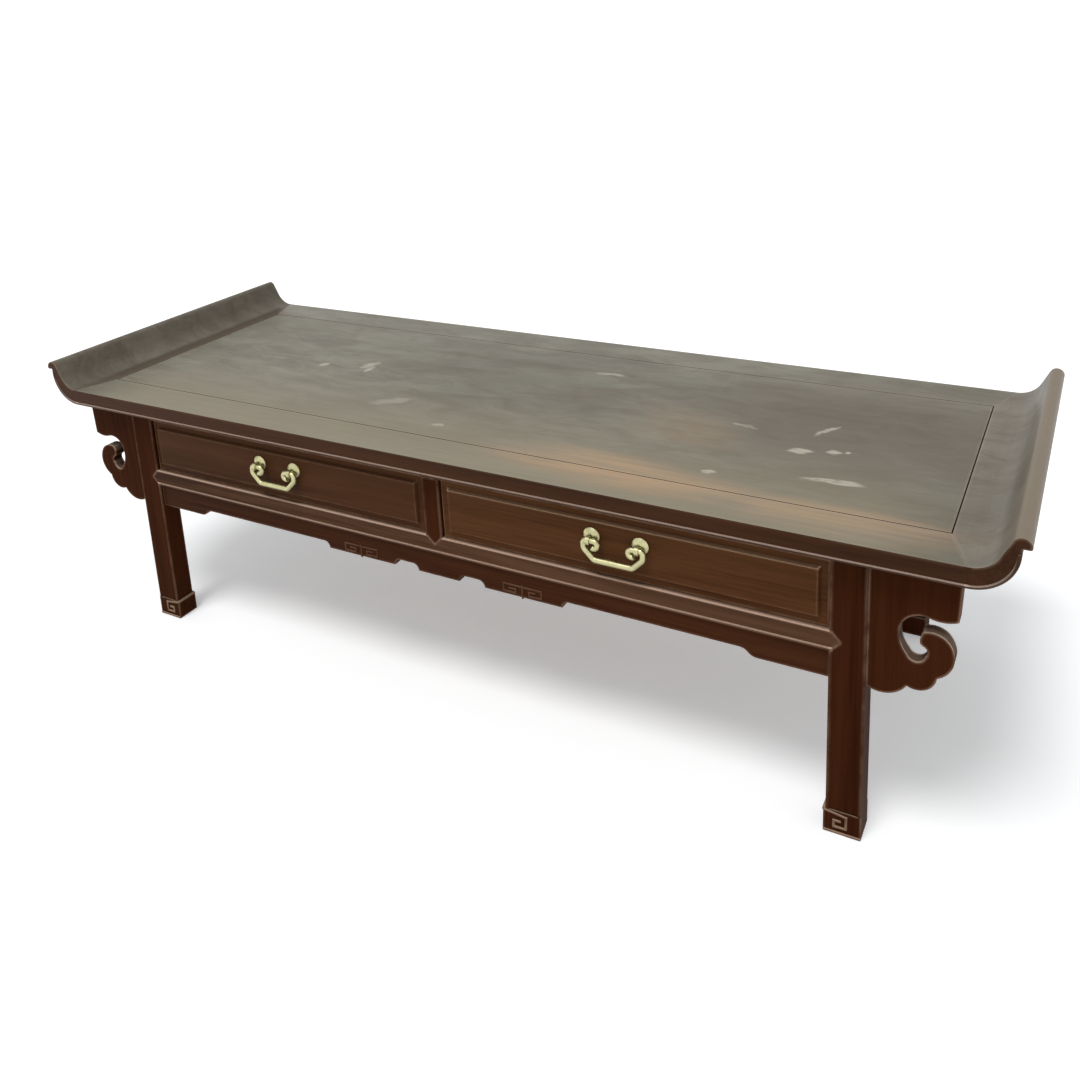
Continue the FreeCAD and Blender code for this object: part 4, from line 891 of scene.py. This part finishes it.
class Joiner:
    """Models small carved pieces by hand: flat ribbons with square corners, raised out of a face."""

    def __init__(self, name: str, ridge: float, sink: float, rise: float) -> None:
        """Starts a piece.

        Args:
            name: Name of the piece.
            ridge: Width of its ribbons.
            sink: How far they start behind the face.
            rise: How far they stand out of it.
        """
        self.name = name
        self.ridge = ridge
        self.sink = sink
        self.rise = rise
        self.runs: list[bpy.types.Object] = []

    def ribbon(self, start: Vector, moves: list[Vector], outward: Vector) -> None:
        """Models one ribbon that starts with a square and goes on by moves.

        Args:
            start: Middle of its first square, on the face.
            moves: Middle to middle steps from each corner to the next.
            outward: Normal of the face.
        """
        bpy.ops.object.select_all(action="DESELECT")
        tip = start - outward * self.sink
        turn = outward.to_track_quat("Z", "Y").to_euler()
        bpy.ops.mesh.primitive_plane_add(size=self.ridge, location=tip, rotation=turn)
        bpy.ops.object.transform_apply(location=True, rotation=True, scale=True)
        run = bpy.context.object
        bpy.ops.object.mode_set(mode="EDIT")
        bpy.ops.mesh.select_mode(type="EDGE")
        for move in moves:
            heading = self._heading(move)
            self._select_edge(run, tip + heading * self.ridge / 2)
            reach = move - heading * self.ridge
            if reach.length > LEAST_LENGTH:
                self._extrude(reach)
            self._extrude(heading * self.ridge)
            tip = tip + move
        bpy.ops.mesh.select_all(action="SELECT")
        bpy.ops.mesh.extrude_region_move(
            TRANSFORM_OT_translate={"value": outward * (self.sink + self.rise)})
        bpy.ops.mesh.select_all(action="SELECT")
        bpy.ops.mesh.remove_doubles(threshold=LEAST_LENGTH)
        bpy.ops.mesh.normals_make_consistent(inside=False)
        bpy.ops.object.mode_set(mode="OBJECT")
        self.runs.append(run)

    @staticmethod
    def _heading(move: Vector) -> Vector:
        """Tells which way along X, Y or Z a move mainly goes."""
        axes = [Vector(fibre.value) for fibre in Fibre]
        return max((axis * math.copysign(1.0, move.dot(axis)) for axis in axes), key=move.dot)

    @staticmethod
    def _extrude(step: Vector) -> None:
        """Draws the selected edge out into a new face."""
        bpy.ops.mesh.extrude_edges_move(TRANSFORM_OT_translate={"value": step})

    @staticmethod
    def _select_edge(run: bpy.types.Object, middle: Vector) -> None:
        """Selects the one edge whose middle lies at a place.

        Args:
            run: The piece in edit mode.
            middle: Where the edge's middle is.
        """
        bpy.ops.mesh.select_all(action="DESELECT")
        mesh = bmesh.from_edit_mesh(run.data)
        for edge in mesh.edges:
            centre = (edge.verts[0].co + edge.verts[1].co) / 2
            edge.select_set((centre - middle).length < SAME_PLACE)
        mesh.select_flush_mode()
        bmesh.update_edit_mesh(run.data)

    def finish(self, soften: float) -> bpy.types.Object:
        """Joins the ribbons into one piece and rounds their edges.

        Args:
            soften: Width of the rounding.

        Returns:
            The finished piece.
        """
        bpy.ops.object.select_all(action="DESELECT")
        for run in self.runs:
            run.select_set(True)
        bpy.context.view_layer.objects.active = self.runs[0]
        if len(self.runs) > 1:
            bpy.ops.object.join()
        piece = bpy.context.view_layer.objects.active
        piece.name = self.name
        piece.data.name = self.name
        rounding = piece.modifiers.new("rounding", "BEVEL")
        rounding.width = soften
        rounding.segments = ROUNDING_STEPS
        rounding.limit_method = "ANGLE"
        bpy.ops.object.modifier_apply(modifier=rounding.name)
        bpy.ops.object.shade_smooth_by_angle(angle=SMOOTH_BELOW)
        return piece


def mirrored_copy(piece: bpy.types.Object, name: str, flips: tuple[bool, bool, bool]) -> bpy.types.Object:
    """Copies a piece and mirrors the copy about the middle of the table.

    Args:
        piece: The piece to copy.
        name: Name of the copy.
        flips: Whether it is mirrored along X, Y and Z.

    Returns:
        The copy, with a mesh of its own.
    """
    bpy.ops.object.select_all(action="DESELECT")
    piece.select_set(True)
    bpy.context.view_layer.objects.active = piece
    bpy.ops.object.duplicate(linked=False)
    copy = bpy.context.object
    copy.name = name
    copy.data.name = name
    bpy.ops.object.mode_set(mode="EDIT")
    bpy.ops.mesh.select_all(action="SELECT")
    scale = tuple(-1.0 if flip else 1.0 for flip in flips)
    bpy.ops.transform.resize(value=scale, center_override=ORIGIN)
    bpy.ops.mesh.normals_make_consistent(inside=False)
    bpy.ops.object.mode_set(mode="OBJECT")
    return copy


def dress(piece: bpy.types.Object, material: bpy.types.Material) -> None:
    """Puts a material on every slot of a piece and reports it.

    Args:
        piece: The piece.
        material: Its material.
    """
    if not piece.material_slots:
        piece.data.materials.append(material)
    for slot in piece.material_slots:
        slot.material = material
    LOG.info("%s is finished in %s", piece.name, material.name)


FRONTWARD = Vector((0, -1, 0))
LEFTWARD = Vector((-1, 0, 0))


@dataclass
class FootCarvings:
    """Squared scrolls carved on the faces of the four feet."""

    ridge: float = 0.0032
    rise: float = 0.0014
    sink: float = 0.0006
    soften: float = 0.0009
    foot_height: float = 0.032
    top_gap: float = 0.0006
    slope: float = 0.0035
    across: float = 0.0262
    drop: float = 0.0166
    back: float = 0.0148
    lift: float = 0.0086
    curl: float = 0.0074

    def build(self) -> list[bpy.types.Object]:
        """Models the scroll of one foot and copies it to the others.

        Returns:
            The four carvings.
        """
        low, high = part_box("leg_front_right")
        half = self.ridge / 2
        top = self.foot_height - half - self.top_gap
        joiner = Joiner("foot_carving_front_right", self.ridge, self.sink, self.rise)
        joiner.ribbon(Vector((low.x + half, low.y, top)), [
            Vector((self.across, 0, -self.slope)),
            Vector((0, 0, -self.drop)),
            Vector((-self.back, 0, 0)),
            Vector((0, 0, self.lift)),
            Vector((self.curl, 0, 0)),
        ], FRONTWARD)
        along = Vector((high.x - low.x - self.ridge, 0, 0))
        joiner.ribbon(Vector((low.x + half, low.y, half)), [along], FRONTWARD)
        inward = Vector((0, high.y - low.y - self.ridge, 0))
        joiner.ribbon(Vector((low.x, low.y + half, top)), [inward], LEFTWARD)
        pieces = [joiner.finish(self.soften)]
        for end in End:
            for side in Side:
                flips = (side is Side.LEFT, end is End.REAR, False)
                if any(flips):
                    name = f"foot_carving_{end.name.lower()}_{side.name.lower()}"
                    pieces.append(mirrored_copy(pieces[0], name, flips))
        return pieces


@dataclass
class FretCarvings:
    """Paired squared scrolls on the two fret blocks of the front apron."""

    ridge: float = 0.0026
    rise: float = 0.0013
    sink: float = 0.0006
    soften: float = 0.0007
    block_middle: float = 0.138
    reach: float = 0.0295
    upper: float = 0.0158
    lower: float = 0.0046
    inner: float = 0.0105
    lift: float = 0.0058
    curl: float = 0.0095
    tip: float = 0.002

    def build(self) -> list[bpy.types.Object]:
        """Models the scrolls of the right block and copies them to the left one.

        Returns:
            The two carvings.
        """
        low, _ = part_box("front_apron")
        joiner = Joiner("fret_carving_right", self.ridge, self.sink, self.rise)
        for side in Side:
            sign = side.value
            start = Vector((self.block_middle + sign * self.ridge, low.y, low.z + self.upper))
            joiner.ribbon(start, [
                Vector((sign * (self.reach - self.ridge), 0, 0)),
                Vector((0, 0, self.lower - self.upper)),
                Vector((sign * (self.inner - self.reach), 0, 0)),
                Vector((0, 0, self.lift)),
                Vector((sign * self.curl, 0, 0)),
            ], FRONTWARD)
        foot = Vector((self.block_middle, low.y, low.z - self.tip + self.ridge / 2))
        joiner.ribbon(foot, [Vector((0, 0, self.upper + self.tip))], FRONTWARD)
        made = joiner.finish(self.soften)
        return [made, mirrored_copy(made, "fret_carving_left", (True, False, False))]


@dataclass
class TopDressing:
    """Finishes of the framed top."""

    lengthwise: tuple[str, ...] = ("top_frame_front", "top_frame_rear", "top_panel")
    crosswise: tuple[str, ...] = ("top_end_left", "top_end_right")
    battens: tuple[str, ...] = ("top_batten_left", "top_batten_centre", "top_batten_right")

    def finish(self, shop: EffectShop) -> int:
        """Dresses the nodes of the top.

        Args:
            shop: Where the shared effects come from.

        Returns:
            How many nodes it dressed.
        """
        plans = (
            (self.lengthwise, TOP_WOOD, Fibre.LENGTHWISE),
            (self.crosswise, END_WOOD, Fibre.CROSSWISE),
            (self.battens, LINING_WOOD, Fibre.CROSSWISE),
        )
        for names, wood, fibre in plans:
            for name in names:
                dress(frame["nodes"][name], wood.material(shop, fibre))
        return sum(len(names) for names, _, _ in plans)


@dataclass
class BaseDressing:
    """Finishes of the legs, rails, aprons, spandrels, boards and runners."""

    upright: tuple[str, ...] = ("leg_", "spandrel_", "front_divider", "rear_divider")
    crosswise: tuple[str, ...] = ("end_top_rail", "end_apron", "end_panel")
    end_rails: tuple[str, ...] = ("end_low_rail",)
    long_rails: tuple[str, ...] = ("front_low_rail", "rear_low_rail")
    long_aprons: tuple[str, ...] = ("front_apron", "rear_apron")
    linings: tuple[str, ...] = ("drawer_runner", "centre_bearer", "centre_guide")

    def finish(self, shop: EffectShop) -> int:
        """Dresses the nodes of the base.

        Args:
            shop: Where the shared effects come from.

        Returns:
            How many nodes it dressed.
        """
        plans = (
            (self.linings, LINING_WOOD, Fibre.CROSSWISE),
            (self.upright, CASE_WOOD, Fibre.UPRIGHT),
            (self.long_rails, RAIL_WOOD, Fibre.LENGTHWISE),
            (self.long_aprons, APRON_WOOD, Fibre.LENGTHWISE),
            (self.end_rails, RAIL_WOOD, Fibre.CROSSWISE),
            (self.crosswise, CASE_WOOD, Fibre.CROSSWISE),
        )
        carcase = frame["record"]["behaviour"]["bodies"]["carcase"]
        names = [name for name in carcase if not name.startswith("top_")]
        for name in names:
            wood, fibre = next(
                ((wood, fibre) for starts, wood, fibre in plans if name.startswith(starts)),
                (CASE_WOOD, Fibre.LENGTHWISE),
            )
            dress(frame["nodes"][name], wood.material(shop, fibre))
        return len(names)


@dataclass
class DrawerDressing:
    """Finishes of one drawer and its handle."""

    side: Side

    def front_wood(self) -> WoodFinish:
        """Tells the finish of the drawer's front: the right one is painted lighter as if lit, the left one
        darker as if shaded.
        """
        return SHADED_LEFT_FRONT_WOOD if self.side is Side.LEFT else LIT_RIGHT_FRONT_WOOD

    def finish(self, shop: EffectShop) -> int:
        """Dresses the nodes of the drawer.

        Args:
            shop: Where the shared effects come from.

        Returns:
            How many nodes it dressed.
        """
        hand = self.side.name.lower()
        bodies = frame["record"]["behaviour"]["bodies"]
        names = [*bodies[f"{hand}_drawer"], *bodies[f"{hand}_bail"]]
        for name in names:
            if name.endswith("_drawer_front"):
                material = self.front_wood().material(shop, Fibre.LENGTHWISE)
            elif name.endswith(("_posts", "_nuts", "_bail")):
                material = BRASS.material(shop)
            elif name.endswith("_side"):
                material = LINING_WOOD.material(shop, Fibre.CROSSWISE)
            else:
                material = LINING_WOOD.material(shop, Fibre.LENGTHWISE)
            dress(frame["nodes"][name], material)
        return len(names)


@dataclass
class Studio:
    """Pale floor, soft light and the camera."""

    floor_size: float = 80.0
    floor_level: float = -0.0004
    floor_colour: Colour = (0.985, 0.985, 0.985, 1.0)
    floor_roughness: float = 0.9
    floor_glow: float = 0.265
    glow_colour: Colour = (0.94, 1.0, 1.04, 1.0)
    sky: float = 0.52
    key: float = 1.5
    key_angle: float = 22.0
    key_from: Triple = (-0.04, -0.4, 0.92)
    camera_place: Triple = (0.80991, -1.3383, 1.00636)
    camera_turn: Triple = (75.441, 2.906, 28.66)
    sensor: float = 36.0
    lens: float = 35.154
    shift: float = -0.25

    def build(self) -> None:
        """Makes the floor, the light and the camera."""
        self._floor()
        self._light()
        self._camera()
        bpy.context.scene.view_settings.view_transform = "Standard"

    def _floor(self) -> None:
        """Lays a wide pale floor that keeps the table's shadow."""
        bpy.ops.object.select_all(action="DESELECT")
        bpy.ops.mesh.primitive_plane_add(size=self.floor_size, location=(0, 0, self.floor_level))
        bpy.ops.object.transform_apply(location=True, rotation=True, scale=True)
        floor = bpy.context.object
        floor.name = "studio_floor"
        material, graph, shader = new_material("studio_floor")
        shader.inputs["Base Color"].default_value = self.floor_colour
        shader.inputs["Roughness"].default_value = self.floor_roughness
        shader.inputs["Specular IOR Level"].default_value = 0.0
        glow = graph.add("ShaderNodeEmission")
        graph.feed(glow.inputs["Color"], self.glow_colour)
        graph.feed(glow.inputs["Strength"], graph.product(self._seen(graph), self.floor_glow))
        lifted = graph.add("ShaderNodeAddShader")
        graph.feed(lifted.inputs[0], shader.outputs[0])
        graph.feed(lifted.inputs[1], glow.outputs[0])
        graph.feed(graph.find("OUTPUT_MATERIAL").inputs["Surface"], lifted.outputs[0])
        dress(floor, material)

    @staticmethod
    def _seen(graph: NodeGraph) -> Socket:
        """Tells whether a ray comes from the camera, a reflection or a clear body."""
        path = graph.add("ShaderNodeLightPath").outputs
        mirrored = graph.larger(path["Is Glossy Ray"], path["Is Transmission Ray"])
        return graph.larger(path["Is Camera Ray"], mirrored)

    def _light(self) -> None:
        """Hangs a white sky and one broad soft key light."""
        world = bpy.data.worlds.new("studio")
        bpy.context.scene.world = world
        world.use_nodes = True
        graph = NodeGraph(world.node_tree)
        background = graph.find("BACKGROUND")
        background.inputs["Color"].default_value = WHITE
        strength = graph.spread(self._seen(graph), 0.0, 1.0, self.sky, 1.0)
        graph.feed(background.inputs["Strength"], strength)
        data = bpy.data.lights.new("key", "SUN")
        data.energy = self.key
        data.angle = math.radians(self.key_angle)
        lamp = bpy.data.objects.new("key", data)
        lamp.rotation_mode = "QUATERNION"
        lamp.rotation_quaternion = Vector(self.key_from).to_track_quat("Z", "Y")
        bpy.context.scene.collection.objects.link(lamp)

    def _camera(self) -> None:
        """Sets the camera where the photograph was taken from."""
        data = bpy.data.cameras.new("camera")
        data.sensor_width = self.sensor
        data.lens = self.lens
        data.shift_y = self.shift
        camera = bpy.data.objects.new("camera", data)
        camera.location = self.camera_place
        camera.rotation_euler = [math.radians(angle) for angle in self.camera_turn]
        bpy.context.scene.collection.objects.link(camera)
        bpy.context.scene.camera = camera


def main() -> None:
    """Builds and dresses the table, piece by piece."""
    logging.basicConfig(level=logging.INFO, format="%(name)s: %(message)s")
    Studio().build()
    shop = EffectShop()
    dressings = [TopDressing(), BaseDressing(), *(DrawerDressing(side) for side in Side)]
    for dressing in dressings:
        LOG.info("%s dressed %d nodes", type(dressing).__name__, dressing.finish(shop))
    for carvings, finish in ((FootCarvings(), FOOT_WOOD), (FretCarvings(), FRET_WOOD)):
        for piece in carvings.build():
            dress(piece, finish.material(shop, Fibre.LENGTHWISE))
            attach(piece, "carcase")
            LOG.info("%s has %d faces", piece.name, len(piece.data.polygons))


if __name__ == "__main__":
    main()
